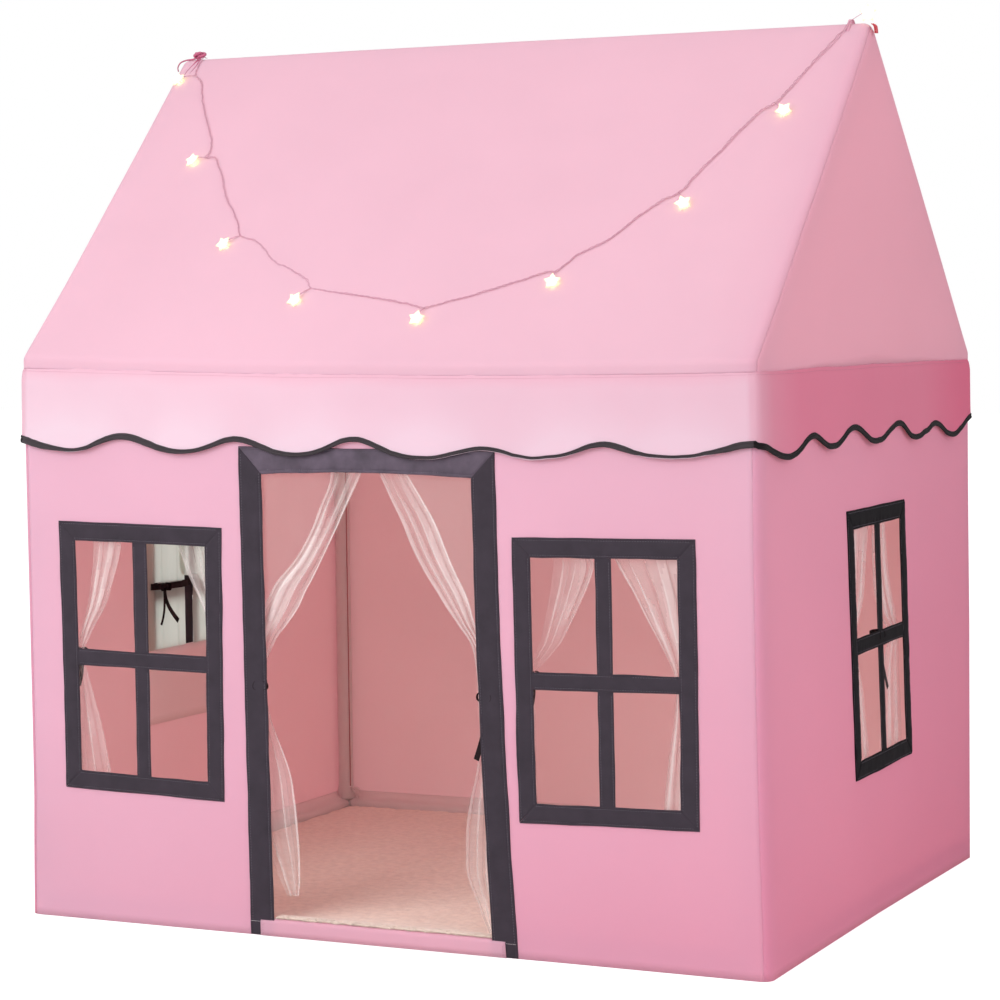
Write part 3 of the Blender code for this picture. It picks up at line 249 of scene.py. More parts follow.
# How much each curtain hides, in hundredths: rows from its head to its foot, nine places from the inner
# edge to the outer one
COVERS = {
    "door_left": (
        (0.0, (28, 34, 32, 28, 20, 14, 16, 28, 30)), (0.10, (28, 34, 24, 32, 18, 14, 20, 46, 44)),
        (0.20, (34, 32, 16, 36, 46, 52, 56, 56, 48)), (0.27, (36, 32, 14, 36, 50, 58, 60, 60, 54)),
        (0.36, (34, 30, 16, 40, 52, 56, 54, 46, 38)), (0.43, (30, 26, 22, 32, 36, 32, 28, 26, 24)),
        (0.60, (22, 20, 18, 20, 24, 22, 20, 18, 18)), (0.80, (26, 24, 20, 18, 20, 24, 20, 18, 16)),
        (1.0, (28, 26, 24, 22, 24, 22, 20, 18, 16))),
    "door_right": (
        (0.0, (36, 32, 16, 14, 28, 20, 28, 36, 38)), (0.10, (40, 28, 14, 26, 18, 28, 38, 44, 42)),
        (0.20, (44, 28, 14, 30, 20, 36, 46, 48, 40)), (0.30, (46, 30, 18, 36, 26, 44, 48, 46, 40)),
        (0.40, (40, 34, 30, 32, 32, 32, 30, 28, 26)), (0.60, (26, 22, 18, 22, 20, 20, 18, 18, 18)),
        (0.85, (30, 24, 18, 20, 24, 20, 18, 18, 18)), (1.0, (30, 24, 20, 22, 24, 22, 20, 18, 18))),
    "window_front_left_first": (
        (0.0, (18, 24, 32, 38, 32, 24, 32, 28, 20)), (0.30, (20, 32, 42, 40, 34, 36, 30, 26, 20)),
        (0.60, (18, 20, 22, 20, 20, 20, 20, 20, 20)), (1.0, (30, 24, 18, 16, 18, 20, 20, 20, 20))),
    "window_front_left_second": (
        (0.0, (40, 16, 26, 14, 26, 18, 28, 30, 28)), (0.40, (42, 20, 30, 20, 28, 24, 30, 28, 26)),
        (1.0, (24, 20, 20, 18, 18, 18, 18, 18, 18))),
    "window_front_right_first": (
        (0.0, (32, 22, 32, 18, 26, 14, 16, 14, 12)), (0.22, (34, 24, 32, 18, 24, 14, 16, 12, 10)),
        (0.38, (14, 10, 10, 10, 10, 8, 8, 8, 8)), (1.0, (8, 8, 8, 8, 8, 8, 8, 8, 8))),
    "window_front_right_second": (
        (0.0, (40, 20, 24, 18, 22, 34, 40, 44, 38)), (0.30, (42, 24, 30, 22, 32, 44, 46, 42, 36)),
        (0.60, (36, 30, 28, 28, 28, 28, 28, 28, 28)), (1.0, (42, 34, 30, 28, 28, 28, 28, 28, 28))),
    "window_right_first": (
        (0.0, (22, 28, 32, 28, 34, 30, 28, 30, 28)), (0.5, (24, 20, 18, 18, 20, 18, 18, 20, 20)),
        (1.0, (20, 22, 20, 18, 20, 18, 18, 20, 20))),
    "window_right_second": (
        (0.0, (22, 26, 24, 22, 28, 30, 26, 24, 24)), (0.4, (24, 26, 24, 22, 26, 28, 24, 24, 22)),
        (0.6, (20, 24, 20, 18, 22, 20, 18, 18, 18)), (1.0, (20, 22, 20, 18, 20, 20, 18, 18, 18))),
}


# How the slack cloth has settled on its frame, in millimetres. Each opening's surround goes as a whole: the
# axis along its wall, its bounds along and up, and measured places with their shifts along and up
SETTLED_OPENINGS = {
    "door": (0, (-221, 218, 0, 728), (
        (-219, 728, 1, 2), (-176, 690, 0, 1), (176, 689, -16, 0), (218, 726, -13, -1), (178, 571, -14, 0),
        (217, 572, -12, 0), (-181, 443, 3, 0), (-221, 442, 5, 0), (178, 442, -8, 0), (216, 444, -8, 0),
        (-221, 277, 5, 0), (-180, 234, 7, 0), (177, 255, -2, 0), (216, 257, -3, 0), (-220, 126, 7, 0),
        (177, 154, 5, 0), (216, 157, 3, 0), (-221, 13, 9, 0), (-181, 46, 9, 0), (177, 45, 12, 0),
        (216, 12, 10, 0))),
    "front_left": (0, (-541, -258, 196, 605), (
        (-540, 604, -1, 9), (-258, 604, 6, 4), (-260, 198, 3, -1), (-540, 196, 3, 6), (-541, 411, 2, 5),
        (-258, 392, 4, 0), (-394, 605, 2, 5), (-400, 197, 3, 3), (-400, 401, 3, 3))),
    "front_right": (0, (227, 509, 197, 605), (
        (227, 604, 0, 0), (509, 605, -2, 3), (508, 197, 1, 5), (227, 197, 7, 0), (227, 387, 3, 0),
        (509, 400, 0, 4), (368, 401, 1, 2), (368, 197, 4, 3), (368, 604, -1, 2))),
    "right": (1, (-120, 165, 212, 621), (
        (-115, 621, -14, 2), (165, 619, -17, 3), (164, 214, 20, 5), (-118, 212, 23, 2), (-120, 417, 6, -1),
        (163, 410, 3, 4), (22, 418, 4, 2), (22, 214, 22, 3), (22, 620, -15, 2)))}
# The rest goes by places in space and their shifts
SETTLED_TENT = (
    (-600, -500, 0, -9, 0, 0), (-600, -500, 200, -7, 0, 0), (-600, -500, 400, -7, 0, 0),
    (-600, -500, 600, -7, 0, 0), (-600, -500, 735, -6, 0, 0), (-600, -500, 800, -6, 0, 9),
    (-600, -500, 850, -6, 0, 16), (-600, -375, 975, -10, 0, 1), (-530, -500, 850, -5, 0, 13),
    (-445, -500, 850, 0, 0, 10), (-352, -500, 850, 0, 0, 8), (-262, -500, 850, 0, 0, 6),
    (-164, -500, 850, 0, 0, 3), (-445, -500, 735, 0, 0, 0),
    *[(x, -500, 735, 0, 0, 0) for x in range(-300, 601, 150)],
    *[(600, y, 735, 0, 0, 0) for y in range(-300, 301, 200)],
    (600, -250, 850, 0, 0, 6), (600, 0, 850, 1, 0, 5),
    (600, 250, 850, 2, 0, 4),
    (-600, -250, 1100, -10, 0, 0), (-600, -125, 1225, -9, 0, 0), (-600, -30, 1330, -9, 0, 1),
    (-600, 200, 1150, -6, 0, 0), (-600, 500, 850, 0, 0, 0), (-600, 500, 400, 0, 0, 0),
    (-600, 500, 0, 0, 0, 0), (-600, 0, 0, 0, 0, 0), (-600, 0, 400, 0, 0, 0), (-600, 0, 850, -3, 0, 0),
    (-300, 0, 1350, 0, 0, 2), (0, 0, 1350, 0, 0, 2), (300, 0, 1350, 0, 0, 1), (600, 0, 1350, 1, 0, 0),
    (600, -250, 1100, 1, 0, 0), (600, -500, 850, -2, 0, 6), (0, -500, 850, 0, 0, 2),
    (100, -500, 850, 0, 0, 0), (250, -500, 850, 0, 0, 0), (400, -500, 850, 0, 0, 2),
    (500, -500, 850, 0, 0, 3), (600, -500, 600, 0, 0, 0), (600, -500, 300, 5, -1, 0),
    (600, -500, 100, 11, -3, 0), (600, -500, 0, 14, -4, 0), (300, -500, 0, 6, 0, 0), (0, -500, 0, 4, 0, 0),
    (-400, -500, 0, 0, 0, 0), (0, -500, 500, 0, 0, 0), (600, 500, 0, 5, 0, 0), (600, 500, 400, 5, 0, 0),
    (600, 500, 850, 3, 0, 2), (600, 0, 0, 5, 0, 0), (600, 0, 400, 3, 0, 0), (600, 250, 0, 5, 0, 0),
    (0, 500, 0, 0, 0, 0), (0, 500, 850, 0, 0, 0), (0, -250, 1100, 0, 0, 0), (0, 250, 1100, 0, 0, 0),
    (-420, -250, 1100, -3, 0, 0), (420, -250, 1100, 0, 0, 0))


class TentSizes(bpy.types.PropertyGroup):
    """Sizes that the maker may change."""
    cloth: bpy.props.FloatProperty(
        name="Cloth", description="Thickness of the wall and roof cloth", default=0.0008, unit="LENGTH")
    ruffle: bpy.props.FloatProperty(
        name="Slackness", description="How far the stretched cloth strays from flat", default=0.0009,
        unit="LENGTH")
    stitch: bpy.props.FloatProperty(
        name="Stitch", description="Length of one stitch", default=0.0026, unit="LENGTH")
    thread: bpy.props.FloatProperty(
        name="Thread", description="Thickness of the sewing thread", default=0.00042, unit="LENGTH")
    pile: bpy.props.FloatProperty(
        name="Pile", description="Height of the mat's plush pile", default=0.0040, unit="LENGTH")
    lamp_glow: bpy.props.FloatProperty(
        name="Lamp glow", description="Brightness of the star lamps", default=20.0, min=0.0)


class TentColours(bpy.types.PropertyGroup):
    """Colours that the maker may change."""
    cloth: bpy.props.FloatVectorProperty(
        name="Cloth", description="Outside of the walls and roof", subtype="COLOR",
        default=(0.87, 0.545, 0.71))
    lining: bpy.props.FloatVectorProperty(
        name="Lining", description="Inside of the walls and roof", subtype="COLOR",
        default=(0.965, 0.92, 0.885))
    trim: bpy.props.FloatVectorProperty(
        name="Trim", description="Door and window trim", subtype="COLOR", default=(0.036, 0.027, 0.038))
    tape: bpy.props.FloatVectorProperty(
        name="Tape", description="Tape along the valance", subtype="COLOR", default=(0.030, 0.022, 0.027))
    sheer: bpy.props.FloatVectorProperty(
        name="Sheer", description="Curtains", subtype="COLOR", default=(0.95, 0.88, 0.86))
    ribbon: bpy.props.FloatVectorProperty(
        name="Ribbon", description="Curtain ties", subtype="COLOR", default=(0.012, 0.006, 0.007))
    mat: bpy.props.FloatVectorProperty(
        name="Mat", description="Plush mat", subtype="COLOR", default=(0.93, 0.77, 0.65))
    lamp: bpy.props.FloatVectorProperty(
        name="Lamp", description="Light of the star lamps", subtype="COLOR", default=(0.66, 1.0, 0.22))
    wire: bpy.props.FloatVectorProperty(
        name="Wire", description="The light string's wires", subtype="COLOR", default=(0.60, 0.30, 0.40))
    moulding: bpy.props.FloatVectorProperty(
        name="Moulding", description="White tubes and mouldings", subtype="COLOR", default=(0.78, 0.76, 0.74))


# Materials
def add_node(tree, kind, **values):
    """Add a shader node and set its inputs by name."""
    made = tree.nodes.new(kind)
    set_inputs(made, **values)
    return made


def new_material(name, colour, roughness):
    """A Principled material: itself, its tree, its shader and the piece's coordinates."""
    made = bpy.data.materials.new(name)
    made.use_nodes = True
    tree = made.node_tree
    shader = tree.nodes["Principled BSDF"]
    shader.inputs["Base Color"].default_value = (*colour, 1)
    shader.inputs["Roughness"].default_value = roughness
    made.diffuse_color = (*colour, 1)
    return made, tree, shader, tree.nodes.new("ShaderNodeTexCoord")


def set_inputs(shader, **values):
    """Set a shader's own sockets by name."""
    for name, value in values.items():
        shader.inputs[name.replace("_", " ")].default_value = value


def noise_field(tree, coordinates, scale, detail=3.0, roughness=0.55):
    """A noise texture on the piece's own coordinates."""
    field = add_node(tree, "ShaderNodeTexNoise", Scale=scale, Detail=detail, Roughness=roughness)
    tree.links.new(coordinates.outputs["Object"], field.inputs["Vector"])
    return field


def weave_height(tree, coordinates, size):
    """Height of a plain weave, from threads along all three axes."""
    total = None
    for axis in ("X", "Y", "Z"):
        threads = tree.nodes.new("ShaderNodeTexWave")
        threads.bands_direction = axis
        threads.inputs["Scale"].default_value = math.pi / (10 * size)
        tree.links.new(coordinates.outputs["Object"], threads.inputs["Vector"])
        if total is None:
            total = threads.outputs["Fac"]
            continue
        joined = tree.nodes.new("ShaderNodeMath")
        joined.operation = "ADD"
        tree.links.new(total, joined.inputs[0])
        tree.links.new(threads.outputs["Fac"], joined.inputs[1])
        total = joined.outputs[0]
    return total


def bump(tree, shader, height, strength, distance, under=None):
    """Raise a height on the shader, over another bump if one is given."""
    raised = add_node(tree, "ShaderNodeBump", Strength=strength, Distance=distance)
    tree.links.new(height, raised.inputs["Height"])
    if under is not None:
        tree.links.new(under.outputs["Normal"], raised.inputs["Normal"])
    tree.links.new(raised.outputs["Normal"], shader.inputs["Normal"])
    return raised


def vary(tree, shader, field, colour, spread):
    """Let the base colour wander by a share of itself over a noise field."""
    ramp = tree.nodes.new("ShaderNodeValToRGB")
    ramp.color_ramp.elements[0].position = 0.3
    ramp.color_ramp.elements[1].position = 0.7
    ramp.color_ramp.elements[0].color = (*[part * (1 - spread) for part in colour], 1)
    ramp.color_ramp.elements[1].color = (*[min(1, part * (1 + spread)) for part in colour], 1)
    tree.links.new(field.outputs["Fac"], ramp.inputs["Fac"])
    tree.links.new(ramp.outputs["Color"], shader.inputs["Base Color"])
    return ramp


def tent_cloth(name, colour, through, through_share, weave=0.0011, spread=0.03):
    """Thin woven cloth that lets part of the light through."""
    made, tree, shader, place = new_material(name, colour, 0.82)
    set_inputs(shader, Specular_IOR_Level=0.25, Sheen_Weight=0.12, Sheen_Roughness=0.5)
    vary(tree, shader, noise_field(tree, place, 2.2), colour, spread)
    creases = bump(tree, shader, noise_field(tree, place, 16, 2.0).outputs["Fac"], 0.16, 0.004)
    raised = bump(tree, shader, weave_height(tree, place, weave), 0.25, 0.0002, creases)
    lit = add_node(tree, "ShaderNodeBsdfTranslucent", Color=(*through, 1))
    tree.links.new(raised.outputs["Normal"], lit.inputs["Normal"])
    mixed = add_node(tree, "ShaderNodeMixShader", Fac=through_share)
    tree.links.new(shader.outputs["BSDF"], mixed.inputs[1])
    tree.links.new(lit.outputs["BSDF"], mixed.inputs[2])
    tree.links.new(mixed.outputs["Shader"], tree.nodes["Material Output"].inputs["Surface"])
    return made


def multiplied(made):
    """Multiply a cloth's colour before its shader: gives the tree, the Object axes and the mix to fill in."""
    tree = made.node_tree
    shader = tree.nodes["Principled BSDF"]
    mixed = tree.nodes.new("ShaderNodeMix")
    mixed.data_type = "RGBA"
    mixed.blend_type = "MULTIPLY"
    tree.links.new(shader.inputs["Base Color"].links[0].from_socket, mixed.inputs[6])
    tree.links.new(mixed.outputs[2], shader.inputs["Base Color"])
    axes = tree.nodes.new("ShaderNodeSeparateXYZ")
    tree.links.new(tree.nodes["Texture Coordinate"].outputs["Object"], axes.inputs["Vector"])
    return tree, axes, mixed


def share_along(tree, axes, axis, **reach):
    """How far a place lies between two bounds on one axis."""
    share = add_node(tree, "ShaderNodeMapRange", **reach)
    tree.links.new(axes.outputs[axis], share.inputs["Value"])
    return share.outputs["Result"]


def tint(made, axis, start, end, stops):
    """Multiply a cloth's colour by tones along one axis of the tent, which paints light and shade on it;
    stops are shares and tones.
    """
    tree, axes, mixed = multiplied(made)
    toned = tree.nodes.new("ShaderNodeValToRGB")
    ramp = toned.color_ramp
    for element, (position, tone) in zip(ramp.elements, (stops[0], stops[-1])):
        element.position = position
        element.color = (*tone, 1)
    for position, tone in stops[1:-1]:
        ramp.elements.new(position).color = (*tone, 1)
    tree.links.new(share_along(tree, axes, axis, From_Min=start, From_Max=end), toned.inputs["Fac"])
    mixed.inputs["Factor"].default_value = 1.0
    tree.links.new(toned.outputs["Color"], mixed.inputs[7])


def painted_shade_below(made, high, low, tone, least):
    """Paint shade into a cloth's colour: darker from a height down to another, all the way at the right end
    of its wall.

    At the left end it deepens by the least share alone.
    """
    tree, axes, mixed = multiplied(made)
    both = tree.nodes.new("ShaderNodeMath")
    both.operation = "MULTIPLY"
    tree.links.new(share_along(tree, axes, "Z", From_Min=high, From_Max=low), both.inputs[0])
    tree.links.new(share_along(tree, axes, "X", From_Min=-0.6, From_Max=0.6, To_Min=least), both.inputs[1])
    tree.links.new(both.outputs["Value"], mixed.inputs["Factor"])
    mixed.inputs[7].default_value = (*tone, 1)


def trim_cloth(name, colour, roughness=0.78, weave=0.0014, shine=0.25, spread=0.16):
    """Close dark twill with a faint bloom along its wrinkles."""
    made, tree, shader, place = new_material(name, colour, roughness)
    set_inputs(shader, Specular_IOR_Level=shine, Sheen_Weight=shine * 0.2, Sheen_Roughness=0.4)
    vary(tree, shader, noise_field(tree, place, 30, 4.0), colour, spread)
    creases = bump(tree, shader, noise_field(tree, place, 60, 3.0).outputs["Fac"], 0.30, 0.0015)
    bump(tree, shader, weave_height(tree, place, weave), 0.45, 0.0003, creases)
    return made


def sheer_cloth(name, colour, alpha):
    """Voile that shows what is behind it."""
    made, tree, shader, place = new_material(name, colour, 0.7)
    set_inputs(shader, Alpha=alpha, Specular_IOR_Level=0.3, Sheen_Weight=0.3)
    vary(tree, shader, noise_field(tree, place, 40), colour, 0.05)
    bump(tree, shader, weave_height(tree, place, 0.0010), 0.3, 0.0002)
    return made


def plush_pile(name, colour):
    """Short plush pile with lighter tips."""
    made, tree, shader, place = new_material(name, colour, 0.95)
    set_inputs(shader, Sheen_Weight=0.5, Sheen_Roughness=0.6, Specular_IOR_Level=0.1)
    vary(tree, shader, noise_field(tree, place, 90, 5.0), colour, 0.10)
    bump(tree, shader, noise_field(tree, place, 420, 4.0, 0.7).outputs["Fac"], 0.8, 0.0015)
    return made


def moulded_plastic(name, colour, roughness, coat=0.0):
    """Smooth moulded plastic with a faint grain."""
    made, tree, shader, place = new_material(name, colour, roughness)
    set_inputs(shader, Coat_Weight=coat)
    vary(tree, shader, noise_field(tree, place, 25), colour, 0.03)
    bump(tree, shader, noise_field(tree, place, 900, 2.0).outputs["Fac"], 0.12, 0.0002)
    return made


def glowing_lens(name, colour, glow):
    """Frosted moulding of a lamp that is switched on, brightest over its light and creamy at its tips."""
    made, tree, shader, place = new_material(name, (0.60, 0.57, 0.36), 0.5)
    set_inputs(shader, Specular_IOR_Level=0.2, Emission_Strength=glow)
    middle_out = add_node(tree, "ShaderNodeAttribute")
    middle_out.attribute_name = "glow"
    ramp = tree.nodes.new("ShaderNodeValToRGB")
    stops = ramp.color_ramp.elements
    stops[0].color = (0.020, 0.019, 0.013, 1)
    stops[1].color = (*colour, 1)
    stops.new(0.25).color = (0.034, 0.034, 0.026, 1)
    stops.new(0.60).color = (0.10, 0.115, 0.06, 1)
    tree.links.new(middle_out.outputs["Fac"], ramp.inputs["Fac"])
    tree.links.new(ramp.outputs["Color"], shader.inputs["Emission Color"])
    bump(tree, shader, noise_field(tree, place, 300).outputs["Fac"], 0.2, 0.0005)
    return made


def cell_paint(name):
    """Painted jacket of a battery cell, plain."""
    colour = (0.20, 0.22, 0.25)
    made, tree, shader, place = new_material(name, colour, 0.32)
    set_inputs(shader, Metallic=0.7)
    vary(tree, shader, noise_field(tree, place, 200), colour, 0.06)
    return made


def toned(colour, tones):
    """A colour with each of its parts times a tone."""
    return [part * tone for part, tone in zip(colour, tones)]


def build_materials(context):
    """Make every finish once, under the names that the pieces ask for."""
    tints = context.scene.tent_colours
    plain = (1, 1, 1)
    through = (0.95, 0.60, 0.62)
    tent_cloth("tent cloth", tints.cloth, through, 0.44)
    # Painted light and shade: the front cloth is a lighter copy of the cloth, darker towards its foot and
    # most of all at its right end.
    painted_shade_below(tent_cloth("front cloth", toned(tints.cloth, (1, 1.11, 1.13)), through, 0.44),
           0.75, 0.05, (0.95, 0.70, 0.775), 0.28)
    tent_cloth("tent lining", tints.lining, (0.96, 0.70, 0.69), 0.46)
    # Painted light and shade: the roof cloth is a lighter copy of the cloth, lit from above, darker towards
    # its right edge where it rolls over the rafter.
    tint(tent_cloth("roof cloth", toned(tints.cloth, (1.0, 1.19, 1.14)), through, 0.44), "X", 0.50, 0.606, (
        (0.0, plain), (0.6, (0.995, 0.96, 0.975)), (1.0, (0.975, 0.86, 0.91))))
    # Painted shade: the side cloth darkens towards its foot and towards the back.
    shade_painted_cloth = tent_cloth("side cloth", toned(tints.cloth, (0.9672, 0.9348, 1.0044)), (0.95, 0.50, 0.54), 0.44)
    tint(shade_painted_cloth, "Z", 0.72, 0.05, ((0.0, plain), (1.0, (0.93, 0.71, 0.79))))
    tint(shade_painted_cloth, "Y", -0.5, 0.5, (
        (0.0, plain), (0.035, (1.0, 0.93, 0.94)), (0.35, (0.98, 0.90, 0.92)), (1.0, (0.945, 0.79, 0.84))))
    # Painted light: the sleeve cloth is lighter than the lining, which offsets the shade at the posts and
    # along the floor.
    tent_cloth("sleeve cloth", (1.0, 0.97, 0.95), (1.0, 0.86, 0.84), 0.46)
    # Painted light: the facing is nearly opaque, and its pink stands in for the light that the wall lets
    # through.
    tent_cloth("facing cloth", (1.0, 0.82, 0.82), (0.96, 0.70, 0.69), 0.02)
    tent_cloth("gable cloth", tints.cloth, (0.97, 0.64, 0.68), 0.50)
    # Painted light and shade: the valance is made paler in front, where the light falls, its sides are
    # painted deeper within its corners, in shade, and it is painted darker towards the right
    shade_painted_cloth = tent_cloth("valance cloth", toned(tints.cloth, (1.05, 1.40, 1.23)), (0.95, 0.50, 0.55), 0.28)
    painted_side_shade = (
        (0.0, 0.0), (0.0048, 0.0), (0.0062, 0.28), (0.020, 0.60), (0.058, 0.84), (0.16, 1.0), (0.72, 1.0),
        (0.92, 1.18), (0.9885, 1.20), (0.990, 0.0), (1.0, 0.0))
    tint(shade_painted_cloth, "Y", -0.51, 0.51, [
        (share, [1 - (1 - part) * amount for part in (0.895, 0.377, 0.485)]) for share, amount in painted_side_shade])
    tint(shade_painted_cloth, "X", -0.6, 0.6, ((0.0, plain), (1.0, (1, 0.93, 0.955))))
    trim_cloth("trim twill", tints.trim)
    # Painted highlight: a lighter copy of the trim twill for the door head, which stands in for the light it
    # catches.
    trim_cloth("trim satin", [part * 2.6 for part in tints.trim], 0.6, spread=0.3)
    # Painted shade: a darker copy of the trim twill for the right window's surround.
    trim_cloth("side twill", [part * 0.15 for part in tints.trim], 0.95, shine=0.1)
    trim_cloth("valance tape", tints.tape, 0.48, 0.0009)
    # Painted shade: a darker copy of the tape for the valance's sides.
    trim_cloth("side tape", [part * 0.3 for part in tints.tape], 0.8, 0.0009, 0.12)
    trim_cloth("tie ribbon", tints.ribbon, 0.8, 0.0007, 0.15)
    trim_cloth("lace", (0.50, 0.10, 0.20), 0.4, 0.0008, 0.5)
    trim_cloth("loop tape", (0.70, 0.10, 0.12), 0.7, 0.0008)
    for number, alpha in enumerate(SHEER_LEVELS):
        sheer_cloth(f"curtain voile {number + 1}", tints.sheer, alpha)
    # Painted shade: the left window's curtains are a grey gauze, which stands in for the dimmer light seen
    # through that window.
    tent_cloth("curtain gauze", (0.60, 0.58, 0.51), (0.64, 0.71, 0.64), 0.6)
    # Painted light and shade: the mat is toned along its depth, a little redder just behind the doorway and
    # lighter towards the back.
    tint(plush_pile("mat plush", tints.mat), "Y", -0.49, 0.5, (
        (0.0, (0.985, 1, 1)), (0.10, (1.03, 0.98, 0.955)), (1.0, (1.06, 1.04, 1.02))))
    moulded_plastic("white tube", tints.moulding, 0.38)
    moulded_plastic("white moulding", [part * 0.97 for part in tints.moulding], 0.42, 0.1)
    moulded_plastic("wire insulation", tints.wire, 0.35, 0.4)
    moulded_plastic("switch plastic", (0.03, 0.03, 0.035), 0.4)
    # The seam thread's dark colour paints the shadow of a fold along each post sleeve.
    for name, colour, roughness in (
            ("pink thread", (0.62, 0.28, 0.38), 0.6), ("grey thread", (0.20, 0.175, 0.215), 0.6),
            ("pale thread", (0.80, 0.74, 0.76), 0.6), ("seam thread", (0.44, 0.14, 0.15), 0.7)):
        moulded_plastic(name, colour, roughness)
    glowing_lens("lamp lens", tints.lamp, context.scene.tent_sizes.lamp_glow)
    cell_paint("cell jacket")


def material(name):
    """A finish by its name."""
    return bpy.data.materials[name]


# Making meshes
def clean_select():
    """Leave nothing selected."""
    bpy.ops.object.select_all(action="DESELECT")


def new_piece(name, points, faces, *finishes):
    """A mesh piece from points and faces, with its finishes in order."""
    mesh = bpy.data.meshes.new(name)
    mesh.from_pydata([tuple(point) for point in points], [], faces)
    mesh.validate()
    piece = bpy.data.objects.new(name, mesh)
    bpy.context.scene.collection.objects.link(piece)
    for finish in finishes:
        mesh.materials.append(material(finish))
    mesh.shade_smooth()
    return piece


def reshape(piece, change):
    """Change a piece's mesh by a function of its editable shape."""
    shape = bmesh.new()
    shape.from_mesh(piece.data)
    change(shape)
    shape.to_mesh(piece.data)
    shape.free()


def outward_faces(piece):
    """Turn every face of closed shells outwards."""
    reshape(piece, lambda shape: bmesh.ops.recalc_face_normals(shape, faces=shape.faces))


def apply_modifiers(piece):
    """Apply every modifier of the piece."""
    clean_select()
    bpy.context.view_layer.objects.active = piece
    piece.select_set(True)
    for modifier in list(piece.modifiers):
        bpy.ops.object.modifier_apply(modifier=modifier.name)
    piece.select_set(False)


def give_thickness(piece, thickness, lined=False, offset=-1.0):
    """Turn a sheet into a closed cloth of even thickness, its inner side lined if asked."""
    solid = piece.modifiers.new("thickness", "SOLIDIFY")
    solid.thickness = thickness
    solid.offset = offset
    if lined:
        solid.material_offset = 1
        solid.material_offset_rim = 0
    apply_modifiers(piece)


def opening_terms(along, up):
    """Terms of the smooth shift of an opening's surround."""
    return np.stack([np.ones_like(along), along, up, along * up, up * up, along * up * up], axis=1)


def opening_shift(name, points):
    """How far an opening's surround has settled at some points."""
    axis, (left, right, low, high), rows = SETTLED_OPENINGS[name]
    table = np.array(rows) / 1000
    weights = np.linalg.lstsq(opening_terms(table[:, 0], table[:, 1]), table[:, 2:], rcond=None)[0]
    along = np.clip(points[:, axis], left / 1000, right / 1000)
    moved = opening_terms(along, np.clip(points[:, 2], low / 1000, high / 1000)) @ weights
    shift = np.zeros_like(points)
    shift[:, axis] = moved[:, 0]
    shift[:, 2] = moved[:, 1]
    return shift


def tent_shift(points):
    """How far the tent has settled at some points: a thin plate through its settled places."""
    table = np.array(SETTLED_TENT) / 1000
    places = table[:, :3]
    count = len(places)
    plane = np.hstack([np.ones((count, 1)), places])
    system = np.zeros((count + 4, count + 4))
    system[:count, :count] = 0.02 * np.eye(count) - np.linalg.norm(places[:, None] - places[None], axis=2)
    system[:count, count:] = plane
    system[count:, :count] = plane.T
    weights = np.linalg.solve(system, np.vstack([table[:, 3:], np.zeros((4, 3))]))
    away = np.linalg.norm(points[:, None] - places[None], axis=2)
    return -away @ weights[:count] + np.hstack([np.ones((len(points), 1)), points]) @ weights[count:]


def settle(points, part):
    """Shift an array of points as their part of the tent has settled: one opening, the tent or its walls."""
    if part in SETTLED_OPENINGS:
        return points + opening_shift(part, points)
    total = tent_shift(points)
    if part == "tent":
        return points + total
    reach = 0.035
    total /= reach ** 2
    weights = np.full((len(points), 1), 1 / reach ** 2)
    for name, (axis, (left, right, low, high), _) in SETTLED_OPENINGS.items():
        beside = np.abs(points[:, axis] - (left + right) / 2000) - (right - left) / 2000
        over = np.abs(points[:, 2] - (low + high) / 2000) - (high - low) / 2000
        behind = np.abs(points[:, 1 - axis] - (HALF_WIDTH if axis else -HALF_DEPTH)) - 0.03
        gap = np.linalg.norm(np.maximum(0, np.stack([beside, over, behind], axis=1)), axis=1, keepdims=True)
        weight = 1 / (gap + 0.002) ** 2
        total += weight * opening_shift(name, points)
        weights += weight
    return points + total / weights


def settled_part(piece, slot):
    """Which part of the tent a piece settles with."""
    if slot == "pink_cloth":
        return "walls" if "wall" in piece.name or "threshold" in piece.name else "tent"
    return next((name for name in SETTLED_OPENINGS if name in piece.name), "tent")


def settle_piece(piece, part):
    """Let a finished piece settle with its part of the tent."""
    count = len(piece.data.vertices)
    points = np.empty(count * 3)
    piece.data.vertices.foreach_get("co", points)
    moved = settle(points.reshape(count, 3), part)
    piece.data.vertices.foreach_set("co", moved.reshape(-1))
    piece.data.update()


def mount(piece, slot, *nodes, body="tent", settled=True):
    """Settle a finished piece if its slot is one that settles, tie it to its body and hide the nodes that it
    stands for.
    """
    if settled and slot in ("pink_cloth", "dark_trim", "sheer_cloth", "dark_ribbon"):
        settle_piece(piece, settled_part(piece, slot))
    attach(piece, body)
    if nodes:
        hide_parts(*nodes)
    return piece


def steps_between(breaks, pitch):
    """Places from the first break to the last, through each, no further apart than the pitch."""
    places = []
    for start, end in zip(breaks, breaks[1:]):
        count = max(1, math.ceil((end - start) / pitch - 1e-6))
        places += [start + (end - start) * step / count for step in range(count)]
    return [*places, breaks[-1]]


def grid_sheet(name, columns, rows, place, finishes, skip=None, closed=False):
    """A sheet over a grid of columns and rows, without the cells that skip says are open."""
    points = [place(column, row) for row in rows for column in columns]
    wide = len(columns)
    faces = []
    for row in range(len(rows) - 1):
        for column in range(wide if closed else wide - 1):
            after = (column + 1) % wide
            if skip and skip((columns[column] + columns[after]) / 2, (rows[row] + rows[row + 1]) / 2):
                continue
            low, high = row * wide, (row + 1) * wide
            faces.append((low + column, low + after, high + after, high + column))
    piece = new_piece(name, points, faces, *finishes)
    if skip:
        reshape(piece, lambda shape: bmesh.ops.delete(
            shape, geom=[vertex for vertex in shape.verts if not vertex.link_faces], context="VERTS"))
    return piece


